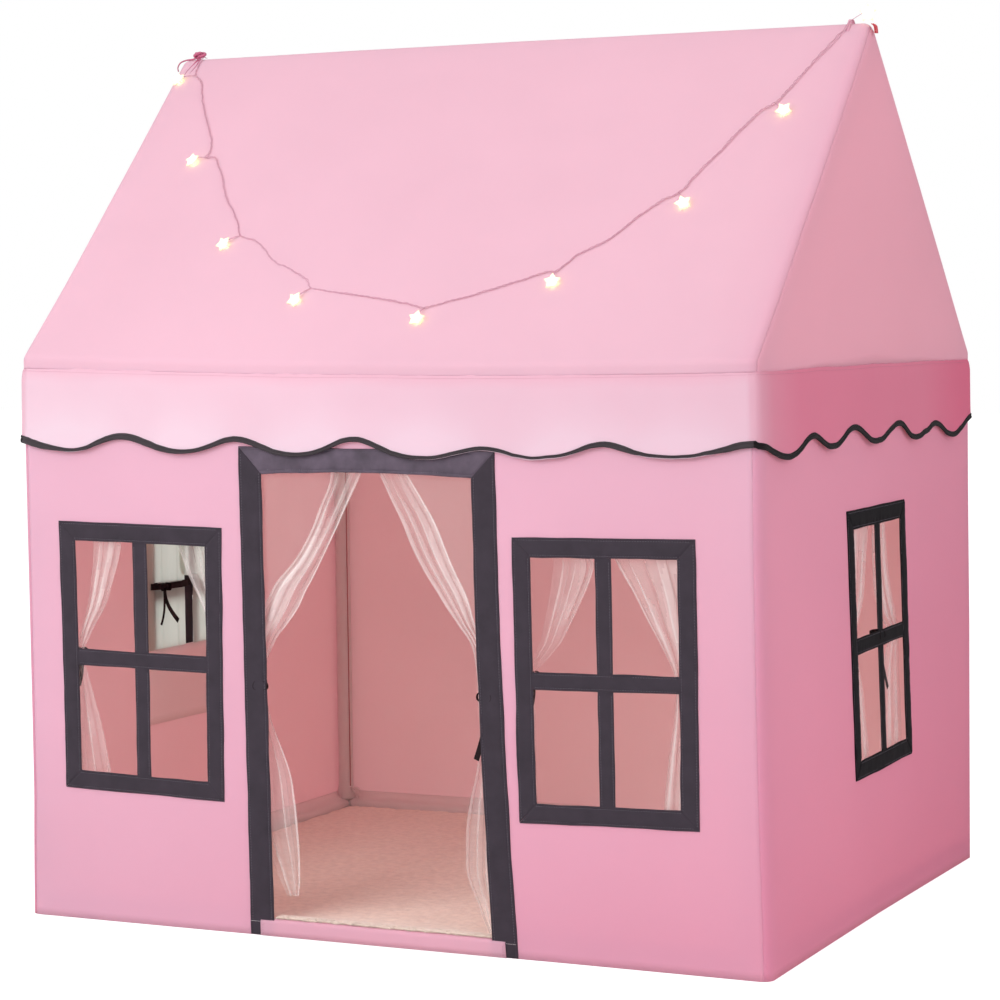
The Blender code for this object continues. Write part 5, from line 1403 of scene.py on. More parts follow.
class TENT_OT_trims(bpy.types.Operator):
    """Make the dark surrounds of the door and the windows, with their stitches"""
    bl_idname = "tent.trims"
    bl_label = "Trims"

    def execute(self, context):
        self.door(context)
        for number, window in enumerate(WINDOWS):
            self.window(context, *window, 70 + 10 * number)
        return {"FINISHED"}

    def placer(self, context, wall, turn):
        """A function that lays a strip on a wall; turn gives its along and up from the strip's own."""
        slack = context.scene.tent_sizes.ruffle

        def place(along, across, rise):
            at, up = turn(along, across)
            lift = wall_relief(wall, at, up, slack) if 0 < up < SEAM_Z else 0.0
            return on_wall(wall, at, up, lift + CLEARANCE + rise)

        return place

    def finish(self, name, points, faces, threads, node, twill="trim twill", satin=0):
        """Close the strips, add their stitches and tie them to the tent; the first faces may take the lighter
        copy of the twill, a painted highlight.
        """
        trim = new_piece(name, points, faces, twill, "trim satin")
        for polygon in trim.data.polygons[:satin]:
            polygon.material_index = 1
        outward_faces(trim)
        trim.data.shade_smooth()
        trim.data.set_sharp_from_angle(angle=math.radians(50))
        sewn = new_piece(name + "_threads", threads[0], threads[1], "grey thread")
        mount(trim, "dark_trim", node)
        mount(sewn, "dark_trim")

    def sew_line(self, context, threads, wall, first, last, rise):
        """Add a straight row of stitches between two places on a wall."""
        sizes = context.scene.tent_sizes
        length = math.hypot(last[0] - first[0], last[1] - first[1])

        def place(distance):
            share = distance / length
            along = first[0] + (last[0] - first[0]) * share
            up = first[1] + (last[1] - first[1]) * share
            lift = wall_relief(wall, along, up, sizes.ruffle) + CLEARANCE + rise
            return on_wall(wall, along, up, lift), wall_out(wall, along)

        sew(threads[0], threads[1], place, 0.002, length - 0.002, TRIM_STITCH, sizes, 0.0001)

    def door(self, context):
        """The door's three mitred strips."""
        points, faces = [], []
        threads = ([], [])
        left, right = DOOR_LOW.x + DOOR_BORDER, DOOR_HIGH.x - DOOR_BORDER

        def over(along, across):
            arch = DOOR_ARCH * math.cos(min(1.0, abs(along - DOOR_CENTRE) / DOOR_HALF) * QUARTER)
            return along, across + arch * (1 - (across - DOOR_TOP) / DOOR_BORDER)

        place = self.placer(context, "front", over)
        strip(points, faces, place, left, right, DOOR_TOP, DOOR_HIGH.z, TRIM_THICK * 1.5, (-1, -1), 101, 0.45)
        # The head strip's faces take the lighter copy of the twill, a painted highlight.
        satin = len(faces)
        insets = (DOOR_SEAM, DOOR_BORDER - DOOR_SEAM)
        for sign, edge in ((-1, left), (1, right)):
            place = self.placer(
                context, "front", lambda along, across, sign=sign, edge=edge: (edge + sign * across, along))
            strip(points, faces, place, 0.0005, DOOR_TOP, 0.0, DOOR_BORDER, TRIM_THICK, (0, -1), 102 + sign)
            for inset in insets:
                at = edge + sign * inset
                self.sew_line(
                    context, threads, "front", (at, 0.02), (at, DOOR_TOP + inset), TRIM_THICK * 0.72)
        for inset in insets:
            up = DOOR_TOP + inset + 0.003
            self.sew_line(
                context, threads, "front", (left - inset, up), (right + inset, up), TRIM_THICK * 0.8)
        self.finish("door_surround", points, faces, threads, "door_trim", satin=satin)

    def window(self, context, name, wall, axis, seed):
        """A window's four mitred strips and its crossed bars."""
        centre, middle_z, half, tall = window_frame(name, wall, axis)
        pane = half - WINDOW_BORDER
        pane_tall = tall - WINDOW_BORDER
        points, faces = [], []
        threads = ([], [])

        def level(flip):
            return lambda along, across: (centre + along, middle_z + flip * across)

        def upright(flip):
            return lambda along, across: (centre + flip * across, middle_z + along)

        for flip in (-1, 1):
            place = self.placer(context, wall, level(flip))
            gather = 0.6 if flip > 0 else 0.3
            strip(
                points, faces, place, -pane, pane, pane_tall, tall, TRIM_THICK, (-1, -1), seed + flip, gather)
            place = self.placer(context, wall, upright(flip))
            strip(
                points, faces, place, -pane_tall, pane_tall, pane, half,
                TRIM_THICK, (-1, -1), seed + 3 + flip)
        bar = WINDOW_BAR / 2
        place = self.placer(context, wall, upright(1))
        strip(
            points, faces, place, -pane_tall - BAR_LAP, pane_tall + BAR_LAP, -bar, bar,
            TRIM_THICK * 0.6, (0, 0), seed + 6)
        place = self.placer(context, wall, level(1))
        strip(
            points, faces, place, -pane - BAR_LAP, pane + BAR_LAP, -bar, bar,
            TRIM_THICK * 0.9, (0, 0), seed + 7)
        rise = TRIM_THICK * 0.72
        for inset in (WINDOW_SEAM, WINDOW_BORDER - WINDOW_SEAM):
            wide = pane + inset
            high_edge = pane_tall + inset
            for flip in (-1, 1):
                up = middle_z + flip * high_edge
                self.sew_line(context, threads, wall, (centre - wide, up), (centre + wide, up), rise)
                at = centre + flip * wide
                self.sew_line(
                    context, threads, wall, (at, middle_z - high_edge), (at, middle_z + high_edge), rise)
        for inset in (-bar + BAR_SEAM, bar - BAR_SEAM):
            up = middle_z + inset
            self.sew_line(context, threads, wall, (centre - pane, up), (centre + pane, up), rise * 0.92)
            at = centre + inset
            for start, end in ((-pane_tall, -bar), (bar, pane_tall)):
                self.sew_line(
                    context, threads, wall, (at, middle_z + start), (at, middle_z + end), rise * 0.62)
        # The right window takes the darker copy of the twill, a painted shade.
        twill = "side twill" if name == "right" else "trim twill"
        self.finish(f"window_surround_{name}", points, faces, threads, f"window_trim_{name}", twill)


# Threshold
THRESHOLD_ROUND = 0.006
HEM_STITCH = 0.0038
TACK_STITCH = 0.0027
TACK_INSET = 0.001
TACK_REACH = 0.018


class TENT_OT_threshold(bpy.types.Operator):
    """Make the pink sleeve over the front base tube and the bar tacks at its ends"""
    bl_idname = "tent.threshold"
    bl_label = "Threshold"

    def execute(self, context):
        sizes = context.scene.tent_sizes
        low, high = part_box("door_threshold")
        inner_x = (DOOR_CENTRE - DOOR_HALF + 0.0006, DOOR_CENTRE + DOOR_HALF - 0.0006)
        columns = steps_between([low.x, inner_x[0], inner_x[1], high.x], 0.008)
        back = high.y - 0.0004
        front = low.y
        top = high.z
        section = [(front, 0.0004), (front, 0.010), (front - 0.0002, 0.018)]
        section += [
            (front + THRESHOLD_ROUND * (1 - math.cos(angle)), top - THRESHOLD_ROUND * (1 - math.sin(angle)))
            for angle in (QUARTER * step / 4 for step in range(5))]
        section += [(front + 0.016, top), (back - THRESHOLD_ROUND, top - 0.0005)]
        section += [
            (back - THRESHOLD_ROUND * (1 - math.sin(angle)), top - THRESHOLD_ROUND * (1 - math.cos(angle)))
            for angle in (QUARTER * step / 4 for step in range(1, 5))]
        section += [(back, 0.0004)]
        rows = list(range(len(section)))

        def place(x, row):
            y, z = section[row]
            edge = min(x - low.x, high.x - x)
            if not inner_x[0] <= x <= inner_x[1]:
                y = front if row <= 4 else y
            wobble = 0.0006 * fade(edge, 0.03) * ripple(90, x, row * 0.004, 0.03)
            return Vector((x, y - wobble * 0.3 * (row < 5), z + wobble * (4 <= row <= 12)))

        flap = grid_sheet(
            "threshold_cloth", columns, rows, place, ("tent cloth", "tent lining"),
            skip=lambda x, row: row > 4.9 and not inner_x[0] < x < inner_x[1])
        give_thickness(flap, sizes.cloth, lined=True)
        mount(flap, "pink_cloth", "door_threshold")
        points, faces = [], []
        outward = Vector((0, -1, 0))

        def along_front(distance):
            return Vector((distance, front - 0.0002, 0.0035)), outward

        sew(points, faces, along_front, low.x + 0.003, high.x - 0.003, HEM_STITCH, sizes)
        for end in (low.x + 0.004, high.x - 0.004):
            def along_end(distance, end=end):
                return Vector((end, front - 0.0002, distance)), outward

            sew(points, faces, along_end, 0.003, 0.021, HEM_STITCH, sizes)
        threads = new_piece("threshold_stitches", points, faces, "pink thread")
        mount(threads, "pink_cloth")
        points, faces = [], []
        for start, end in (
                (DOOR_LOW.x + TACK_INSET, DOOR_LOW.x + TACK_REACH),
                (DOOR_HIGH.x - TACK_REACH, DOOR_HIGH.x - TACK_INSET)):
            def tack(distance):
                return Vector((distance, -HALF_DEPTH - CLEARANCE - TRIM_THICK * 1.05, 0.021)), outward

            sew(points, faces, tack, start, end, TACK_STITCH, sizes)
        tacks = new_piece("door_bar_tacks", points, faces, "pale thread")
        mount(tacks, "dark_trim")
        return {"FINISHED"}


# Curtains
class TENT_OT_curtains(bpy.types.Operator):
    """Make the sheer curtains of the door and the windows"""
    bl_idname = "tent.curtains"
    bl_label = "Curtains"

    def execute(self, context):
        centre = DOOR_CENTRE - FRONT_SHIFT
        for number, (name, side) in enumerate((("left", -1), ("right", 1))):
            rows = self.rows(DOOR_CURTAINS[name], DOOR_TOP, DOOR_HALF)
            # A thin veil fills the upper corner beside the curtain's own cloth
            veil = [
                (up, outer - 0.002, max(outer, 1.08 * DOOR_HALF), 0.3)
                for up, _, outer, _ in rows if up > 0.55 * DOOR_TOP]
            sheets = [
                (self.folded(rows, centre, 0.0, side, 120 + number, 3.0), f"door_{name}"),
                (self.folded(veil, centre, 0.0, side, 125 + number, 1.5), "veil")]
            piece = mount(
                self.piece(f"door_voile_{name}", "front", sheets), "sheer_cloth", f"door_curtain_{name}")
        for number, (name, wall, axis) in enumerate(WINDOWS):
            at, up, half, half_tall = window_frame(name, wall, axis)
            at -= {"front": FRONT_SHIFT, "left": -LEFT_SHIFT, "right": 0.0}[wall]
            sheets = []
            for side in (-1, 1):
                rows = self.rows(
                    WINDOW_CURTAINS[name, side], 2 * half_tall - 2 * WINDOW_BORDER, half - WINDOW_BORDER)
                # The left window's curtains are the grey gauze, a painted shade.
                kind = "gauze" if name == "left" else f"window_{name}_{'first' if side < 0 else 'second'}"
                sheets.append((self.folded(rows, at, up, side, 130 + 2 * number + side, 2.5), kind))
            piece = mount(
                self.piece(f"window_voile_{name}", wall, sheets), "sheer_cloth", f"window_curtains_{name}")
        return {"FINISHED"}

    def rows(self, shares, height, half_width):
        """Rows down a curtain in real sizes, along smooth curves through its table."""
        rows = smooth_line([Vector(row) for row in shares], 9)
        return [
            (up * height, inner * half_width, outer * half_width, fold) for up, inner, outer, fold in rows]

    def folded(self, rows, centre, base, side, seed, pleats):
        """One curtain as rows of points on a wall: along, depth into the tent, and up."""
        grid = []
        columns = 110
        for up, inner, outer, fold in rows:
            line = []
            middle_along = (inner + outer) / 2
            half = (outer - inner) / 2
            sway = 0.0012 * ripple(seed + 7, up, 0, 0.05)
            for column in range(columns + 1):
                across = 2 * column / columns - 1
                phase = math.pi * pleats * (across + 0.25 * ripple(seed, across * 0.35, up * 0.5, 0.30))
                overlap = 0.85 * fold * math.sin(2 * phase) / (math.pi * pleats) * fade(1 - abs(across), 0.2)
                swell = 0.6 + 0.4 * ripple(seed + 3, across, up * 0.4, 0.3)
                depth = CURTAIN_DEPTH * (0.30 + 0.70 * fade(fold, 0.8))
                depth += CURTAIN_FOLD * fold * math.cos(phase) * swell
                depth += 0.0008 * fold * ripple(seed + 5, across * half * 9, up, 0.03)
                line.append(
                    (centre + side * (middle_along + half * (across + overlap) + sway), depth, base + up))
            grid.append(line)
        return grid

    def piece(self, name, wall, sheets):
        """One piece from the sheets of a wall's opening, with its hems and creases."""
        points, faces = [], []
        kinds = []
        for number, (grid, kind) in enumerate(sheets):
            base = len(points)
            wide = len(grid[0])
            for line in grid:
                for along, depth, up in line:
                    x, y = WALLS[wall][3](along, WALLS[wall][2] + ROLL - depth)
                    points.append(Vector((x, y, up)))
            for row in range(len(grid) - 1):
                width = abs(grid[row][-1][0] - grid[row][0][0])
                for column in range(wide - 1):
                    low = base + row * wide + column
                    faces.append((low, low + 1, low + wide + 1, low + wide))
                    share = (column + 0.5) / (wide - 1)
                    down = (grid[0][0][2] - grid[row][0][2]) / (grid[0][0][2] - grid[-1][0][2])
                    kinds.append(self.finish_at(share, down, width, kind, 170 + 8 * number))
        piece = new_piece(name, points, faces, *[
            f"curtain voile {level + 1}" for level in range(len(SHEER_LEVELS))], "curtain gauze")
        for polygon, kind in zip(piece.data.polygons, kinds):
            polygon.material_index = kind
        return piece

    def finish_at(self, across, down, width, kind, seed):
        """Which cloth a face shows, by how much its folds and hems hide."""
        if kind == "gauze":
            return len(SHEER_LEVELS)
        cover = 0.09
        if kind in COVERS:
            places = across + 0.07 * ripple(seed, down, 0, 0.22)
            levels = [np.interp(places, np.linspace(0, 1, 9), row[1]) for row in COVERS[kind]]
            cover = np.interp(down, [row[0] for row in COVERS[kind]], levels) / 100
            cover *= 1 + 0.20 * ripple(seed + 1, across * 0.5, down, 0.09)
            cover += 0.05 * math.exp(-(across * width / CURTAIN_HEM) ** 2)
        return min(range(len(SHEER_LEVELS)), key=lambda level: abs(SHEER_LEVELS[level] - cover))


# Ribbons, and how deep a knot lies before or behind its curtain
RIBBON_WIDTH = 0.0105
RIBBON_THICK = 0.0007
TAIL_WIDTH = 0.0085
BOW_WIDTH = 0.0060
BOW_THICK = 0.0006
KNOT_RADIUS = 0.0052
KNOT_BEFORE = 0.0035
KNOT_BEHIND = 0.023
TIE_DEPTH = 0.0075
DOOR_GATHER = 0.0105


def flat_ribbon(points, faces, line, width, cloth, broad):
    """Add a flat ribbon along a line; broad is the direction of its width."""
    base = len(points)
    for index, point in enumerate(line):
        tangent = (line[min(len(line) - 1, index + 1)] - line[max(0, index - 1)]).normalized()
        wide = (broad - broad.dot(tangent) * tangent).normalized()
        out = tangent.cross(wide)
        for side, rise in ((-0.5, -0.5), (0.5, -0.5), (0.5, 0.5), (-0.5, 0.5)):
            points.append(point + wide * width * side + out * cloth * rise)
    skin(faces, base, len(line), 4)


class TENT_OT_ribbons(bpy.types.Operator):
    """Tie each curtain with a dark ribbon"""
    bl_idname = "tent.ribbons"
    bl_label = "Ribbons"

    def execute(self, context):
        waist = 0.545 * DOOR_TOP
        for name, side, reach, tails in (
                ("left", -1, 1.075, ((-0.012, -0.050), (-0.018, -0.044))),
                ("right", 1, 1.110, ((-0.016, -0.090), (0.012, -0.048)))):
            at = DOOR_CENTRE - FRONT_SHIFT + side * reach * DOOR_HALF
            tie = self.tie(f"door_ribbon_{name}", "front", at, waist, DOOR_GATHER, -side, tails, KNOT_BEFORE)
            mount(tie, "dark_ribbon", f"ribbon_tie_{name}")
        for name, wall, axis in WINDOWS:
            centre, up, half, _ = window_frame(name, wall, axis)
            pane = half - WINDOW_BORDER
            for side in (-1, 1):
                waist_row = min(WINDOW_CURTAINS[name, side], key=lambda row: row[3] + abs(row[0]))
                at = centre + side * pane * (waist_row[1] + waist_row[2]) / 2
                reach = pane * (waist_row[2] - waist_row[1]) / 2
                tails = ((side * 0.004, -0.050), (side * 0.011, -0.042))
                face = KNOT_BEHIND
                height = up + 0.004
                if wall == "front":
                    at = centre - FRONT_SHIFT + side * (pane + 0.012)
                if (name, side) == ("left", -1):
                    at = centre - pane - 0.030
                if (name, side) == ("left", 1):
                    at, reach, height = centre + 0.0785, 0.0545, up + 0.0135
                    tails = ((-0.034, -0.058), (0.016, -0.060))
                if (name, side) == ("right", 1):
                    at, reach, face = centre + 0.012, 0.012, KNOT_BEFORE
                    tails = ((0.030, -0.085), (0.006, -0.030))
                tie = self.tie(f"window_ribbon_{name}_{'first' if side < 0 else 'second'}", wall, at, height,
                               max(0.008, reach), -side * (-1 if name == "left" else 1), tails, face)
                mount(tie, "dark_ribbon")
        return {"FINISHED"}

    def tie(self, name, wall, at, up, reach, toward, tails, face):
        """A ribbon round a curtain's waist with its knot and two ends, at a depth behind the wall."""
        points, faces = [], []
        _, _, out, turn = WALLS[wall]

        def place(along, depth, height):
            x, y = turn(along, out + ROLL - depth)
            return Vector((x, y, height))

        ring = []
        for step in range(25):
            angle = math.tau * step / 24
            sag = 0.0012 * math.cos(angle)
            ring.append(place(
                at + reach * math.cos(angle), CURTAIN_DEPTH + TIE_DEPTH * math.sin(angle), up + sag))
        upright = Vector((0, 0, 1))
        flat_ribbon(points, faces, ring, RIBBON_WIDTH, RIBBON_THICK, upright)
        tab = [
            place(at - toward * reach * (1 + 0.35 * step), CURTAIN_DEPTH - 0.0030 * step, up)
            for step in range(3)]
        flat_ribbon(points, faces, tab, RIBBON_WIDTH, RIBBON_THICK, upright)
        knot = at + toward * reach * 0.55
        inner = 1 if face > CURTAIN_DEPTH else -1
        depth = face if inner > 0 else CURTAIN_DEPTH - 0.0085
        lump = [
            place(
                knot + toward * 0.0045 * (step - 2) / 2, depth + 0.0003 * (2 - abs(step - 2)) * inner,
                up + 0.001)
            for step in range(5)]
        tube(points, faces, lump, KNOT_RADIUS, 10, 0.6, lambda share: 0.55 + 0.45 * math.sin(math.pi * share))
        across = (place(1, 0, 0) - place(0, 0, 0)).normalized()
        for number, (shift, drop) in enumerate(tails):
            line = []
            for step in range(11):
                share = step / 10
                curl = 0.0035 * math.sin(2.6 * share + number)
                line.append(place(
                    knot + shift * share * share + 0.0020 * math.sin(4 * share + number),
                    depth + (0.0015 + curl * 0.5) * inner * share, up - 0.002 + drop * share))
            flat_ribbon(points, faces, line, TAIL_WIDTH - 0.003 * number, BOW_THICK, across)
        for number, lean in enumerate((-1, 1)):
            loop = []
            for step in range(15):
                share = step / 14
                angle = math.pi * (2 * share - 1)
                loop.append(place(
                    knot + lean * 0.011 * (1 + math.cos(angle)) / 2 * (1.0 + 0.2 * number),
                    depth + inner * (0.0012 + 0.0022 * math.sin(math.pi * share)),
                    up + 0.0015 + 0.0065 * math.sin(angle) - 0.0025 * (1 + math.cos(angle)) / 2))
            broad = (across * lean + upright * 0.3).cross(upright).normalized()
            flat_ribbon(points, faces, loop, BOW_WIDTH, BOW_THICK, broad)
        piece = new_piece(name, points, faces, "tie ribbon")
        piece.data.set_sharp_from_angle(angle=math.radians(40))
        return piece


# Mat, and the section of its border in the doorway: y and z
LIP_SECTION = (
    (-0.4660, 0.0212), (-0.4715, 0.0262), (-0.4775, 0.0283), (-0.4835, 0.0290), (-0.4890, 0.0287),
    (-0.4940, 0.0281), (-0.4985, 0.0272))


class TENT_OT_mat(bpy.types.Operator):
    """Make the plush mat"""
    bl_idname = "tent.mat"
    bl_label = "Mat"

    def execute(self, context):
        pile = context.scene.tent_sizes.pile
        _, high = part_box("floor_mat")
        corner = 0.030
        inset = 0.0015
        half_x = high.x - inset
        half_y = high.y - inset
        pitch = 0.0048
        columns = steps_between([-half_x, half_x], pitch)
        rows = steps_between([-half_y, half_y], pitch)
        top = high.z - pile * 0.6

        def place(x, y):
            away_x = half_x - abs(x)
            away_y = half_y - abs(y)
            x_in, y_in = x, y
            over_x = abs(x) - (half_x - corner)
            over_y = abs(y) - (half_y - corner)
            if over_x > 0 and over_y > 0:
                reach = max(over_x, over_y)
                length = math.hypot(over_x, over_y)
                x_in = math.copysign(half_x - corner + over_x * reach / length, x)
                y_in = math.copysign(half_y - corner + over_y * reach / length, y)
            edge = min(away_x, away_y)
            drop = 0.010 * (1 - math.sqrt(1 - (1 - min(1.0, edge / 0.012)) ** 2)) if edge < 0.012 else 0.0
            tuft = ripple(140, x, y, 0.0075) + 0.7 * ripple(141, x, y, 0.019) + 0.5 * ripple(142, x, y, 0.07)
            z = top + pile * 0.45 * tuft - drop
            return Vector((x_in, y_in, min(z, high.z + 0.002)))

        piece = grid_sheet("plush_mat", columns, rows, place, ("mat plush",))
        self.close_below(piece)
        mount(piece, "plush", "floor_mat")
        self.lip(pile)
        return {"FINISHED"}

    def lip(self, pile):
        """The mat's fuzzy border, drawn over the base tube in the doorway."""
        chance = random.Random(11)
        left = DOOR_LOW.x + DOOR_BORDER + 0.010
        right = DOOR_HIGH.x - DOOR_BORDER + 0.012
        columns = steps_between([left, right], 0.0024)

        def place(x, row):
            y, z = LIP_SECTION[row]
            tuft = ripple(144, x, y, 0.006) + 0.8 * ripple(145, x, y, 0.015)
            front = row / (len(LIP_SECTION) - 1)
            y += front * (0.0016 * ripple(146, x, 0, 0.020) + 0.0012 * ripple(147, x, 0, 0.006))
            return Vector((x, y, z + 0.22 * pile * tuft))

        lip = grid_sheet("mat_border", columns, list(range(len(LIP_SECTION))), place, ("mat plush",))
        outward_faces(lip)
        give_thickness(lip, 0.0012, offset=-1.0)
        points, faces = [], []
        for _ in range(900):
            x = chance.uniform(left + 0.002, right - 0.002)
            row = chance.choice((4, 5, 6, 6, 6))
            root = place(x, row)
            reach = Vector((chance.uniform(-0.5, 0.5), chance.uniform(-1.0, -0.2), chance.uniform(-0.3, 0.9)))
            tip = root + reach.normalized() * chance.uniform(0.0018, 0.0042)
            wide = 0.00042
            base = len(points)
            points += [
                root + Vector((wide, 0, 0)), root + Vector((-wide, 0, 0)),
                root + Vector((0, wide, wide)), tip]
            faces += [(base, base + 2, base + 1), (base, base + 1, base + 3), (base + 1, base + 2, base + 3),
                      (base + 2, base, base + 3)]
        fluff = new_piece("mat_fringe", points, faces, "mat plush")
        mount(lip, "plush")
        mount(fluff, "plush")

    def close_below(self, piece):
        """Draw the rim down to the floor and close it there."""
        def drop_rim(shape):
            rim = [edge for edge in shape.edges if edge.is_boundary]
            for item in bmesh.ops.extrude_edge_only(shape, edges=rim)["geom"]:
                if isinstance(item, bmesh.types.BMVert):
                    item.co.z = 0.0
            bmesh.ops.contextual_create(shape, geom=[edge for edge in shape.edges if edge.is_boundary])

        reshape(piece, drop_rim)
        outward_faces(piece)
        piece.data.shade_smooth()


# Sleeves over the frame
SLEEVE_RADIUS = 0.0134
SLEEVE_CLOTH = 0.0006
SLEEVE_FOOT = 0.0275
SLEEVE_STOP = 0.060
SLEEVE_SIDES = 20
CUFF_SWELL = 0.0032
CUFF_RING = 0.0011
TIE_WIDTH = 0.0042
TIE_THICK = 0.0008
WALL_X = HALF_WIDTH - 0.0026
WALL_Y = HALF_DEPTH - 0.0026


class TENT_OT_sleeves(bpy.types.Operator):
    """Make the cloth sleeves that hold the posts and the base tubes"""
    bl_idname = "tent.sleeves"
    bl_label = "Sleeves"

    def execute(self, context):
        for end, sy in (("front", -1), ("back", 1)):
            for side, sx in (("left", -1), ("right", 1)):
                self.post_sleeve(f"post_sleeve_{end}_{side}", sx, sy)
        for name, start, stop in (
                ("base_sleeve_left", (-POST_X, -POST_Y), (-POST_X, POST_Y)),
                ("base_sleeve_right", (POST_X, -POST_Y), (POST_X, POST_Y)),
                ("base_sleeve_back", (-POST_X, POST_Y), (POST_X, POST_Y)),
                ("base_sleeve_front_left", (-POST_X, -POST_Y), (DOOR_LOW.x, -POST_Y)),
                ("base_sleeve_front_right", (DOOR_HIGH.x, -POST_Y), (POST_X, -POST_Y))):
            self.base_sleeve(name, start, stop)
        return {"FINISHED"}

    def sleeve(self, name, line, radii, seed):
        """A slack cloth tube along a line, with its radius at each point."""
        points, faces = [], []
        frames = frames_along(line)
        for index, (point, _, side, up) in enumerate(frames):
            for step in range(SLEEVE_SIDES):
                angle = math.tau * step / SLEEVE_SIDES
                cuff = (radii[index] - SLEEVE_RADIUS) / CUFF_SWELL
                slack = 0.0005 * ripple(seed, math.cos(angle) * 0.03, point.z, 0.02)
                flute = 0.0009 * max(0.0, cuff) * math.cos(9 * angle + 2 * ripple(seed + 1, point.z, 0, 0.01))
                size = radii[index] + slack + flute
                points.append(point + size * (math.cos(angle) * side + math.sin(angle) * up))
        skin(faces, 0, len(frames), SLEEVE_SIDES, capped=False)
        # The sleeve cloth is painted light, lighter than the lining.
        piece = new_piece(name, points, faces, "sleeve cloth")
        for vertex in piece.data.vertices:
            vertex.co.x = max(-WALL_X, min(WALL_X, vertex.co.x))
            vertex.co.y = max(-WALL_Y, min(WALL_Y, vertex.co.y))
        give_thickness(piece, SLEEVE_CLOTH)
        return mount(piece, "pink_cloth", settled=False)

    def post_sleeve(self, name, sx, sy):
        """The sleeve of one corner post, gathered over the hub at its foot, its tie, and a dark cord down one
        side of it that is a painted shadow of its fold.
        """
        high_z = EAVE_Z - SLEEVE_STOP
        count = 150
        line = [
            Vector((sx * POST_X, sy * POST_Y, SLEEVE_FOOT + (high_z - SLEEVE_FOOT) * step / count))
            for step in range(count + 1)]
        radii = []
        for point in line:
            above = point.z - SLEEVE_FOOT
            cuff = 1 - fade(above - 0.006, 0.022)
            ring = CUFF_RING * math.sin(above / 0.0021) * cuff
            radii.append(SLEEVE_RADIUS + CUFF_SWELL * cuff + ring)
        self.sleeve(name, line, radii, 150 + sx + 2 * sy)
        points, faces = [], []
        # The dark cord down one side of the sleeve is a painted shadow of its fold, not a seam.
        out = Vector((-sx * 0.886, -sy * 0.462, 0))
        seam = [point + out * (radius + 0.0004 + 0.0005 * ripple(156, point.z, sx, 0.05))
                for point, radius in zip(line, radii) if point.z > 0.050]
        tube(points, faces, seam, 0.0010, 6)
        mount(new_piece(name + "_seam", points, faces, "seam thread"), "pink_cloth", settled=False)
        points, faces = [], []
        start = line[4] + out * (radii[4] + 0.0012)
        for lean in (-0.35, 0.55):
            tie = [
                start + Vector((
                    -sx * 0.020 * share, -sy * 0.004 * share, (lean * share - 0.5 * share * share) * 0.016))
                for share in (0, 0.2, 0.4, 0.6, 0.8, 1.0)]
            flat_ribbon(points, faces, tie, TIE_WIDTH, TIE_THICK, Vector((0, 0, 1)))
        mount(new_piece(name + "_tie", points, faces, "sleeve cloth"), "pink_cloth", settled=False)

    def base_sleeve(self, name, start, stop):
        """The skirt sewn to one wall, over its base tube and down to the mat."""
        first = Vector((*start, 0))
        last = Vector((*stop, 0))
        run = (last - first).normalized()
        reach = (last - first).length
        inward = Vector((-run.y, run.x, 0))
        if inward.dot(first + last) > 0:
            inward = -inward
        section = ((-0.0139, 0.042), (-0.0125, 0.038), (-0.0085, 0.0345), (-0.003, 0.0300), (0.003, 0.0288),
                   (0.0080, 0.0268), (0.0117, 0.0228), (0.0130, 0.0172), (0.0130, 0.0125))
        columns = steps_between([0.012, reach - 0.012], 0.006)
        rows = list(range(len(section)))

        def place(along, row):
            inner, up = section[row]
            slack = 0.0007 * ripple(160 + len(name), along, row * 0.004, 0.035) * fade(row, 2)
            return first + run * along + inward * (inner + slack) + Vector((0, 0, up + 0.5 * slack))

        # The skirt takes the sleeve cloth, painted light.
        skirt = grid_sheet(name, columns, rows, place, ("sleeve cloth",))
        outward_faces(skirt)
        give_thickness(skirt, SLEEVE_CLOTH, offset=0.0)
        mount(skirt, "pink_cloth", settled=False)


# Light string: how far its wires stray, lie apart and open, and where they run loose
CORD_WANDER = 0.0016
WIRES_APART = 0.0009
WIRES_OPEN = 0.0026
WIRES_LOOSE = 0.0024
LOOSE_X = 0.548
LOOSE_REACH = 0.035
LAMP_ROUND = 0.0009

# What holds the light string at the ridge
LACE_RADIUS = 0.0026
LACE_TURN = 0.0027
STRAND_RADIUS = 0.0013
RIDGE_PITCH = 0.0015
STRAP_WIDTH = 0.0055
STRAP_THICK = 0.0008
TAB_WIDTH = 0.0085
TAB_THICK = 0.0011
TAB_FOLD = 0.0024
LACE_KNOT = Vector((-0.575, -0.003, 1.3590))
LACE_STRANDS = (
    ((-0.575, -0.004, 1.3555), (-0.586, -0.006, 1.3520), (-0.600, -0.005, 1.3510), (-0.612, -0.004, 1.3475),
     (-0.6175, -0.004, 1.3400), (-0.6165, -0.004, 1.3330)),
    ((-0.574, -0.006, 1.3550), (-0.5790, -0.0130, 1.3440), (-0.5850, -0.0240, 1.3325),
     (-0.5880, -0.0350, 1.3212)),
    ((-0.571, -0.006, 1.3550), (-0.5720, -0.0130, 1.3440), (-0.5750, -0.0230, 1.3335),
     (-0.5800, -0.0330, 1.3230)))
TAB_PLACES = (
    (0.6005, -0.004, 1.3480), (0.6040, -0.005, 1.3450), (0.6054, -0.006, 1.3400), (0.6060, -0.006, 1.3340))


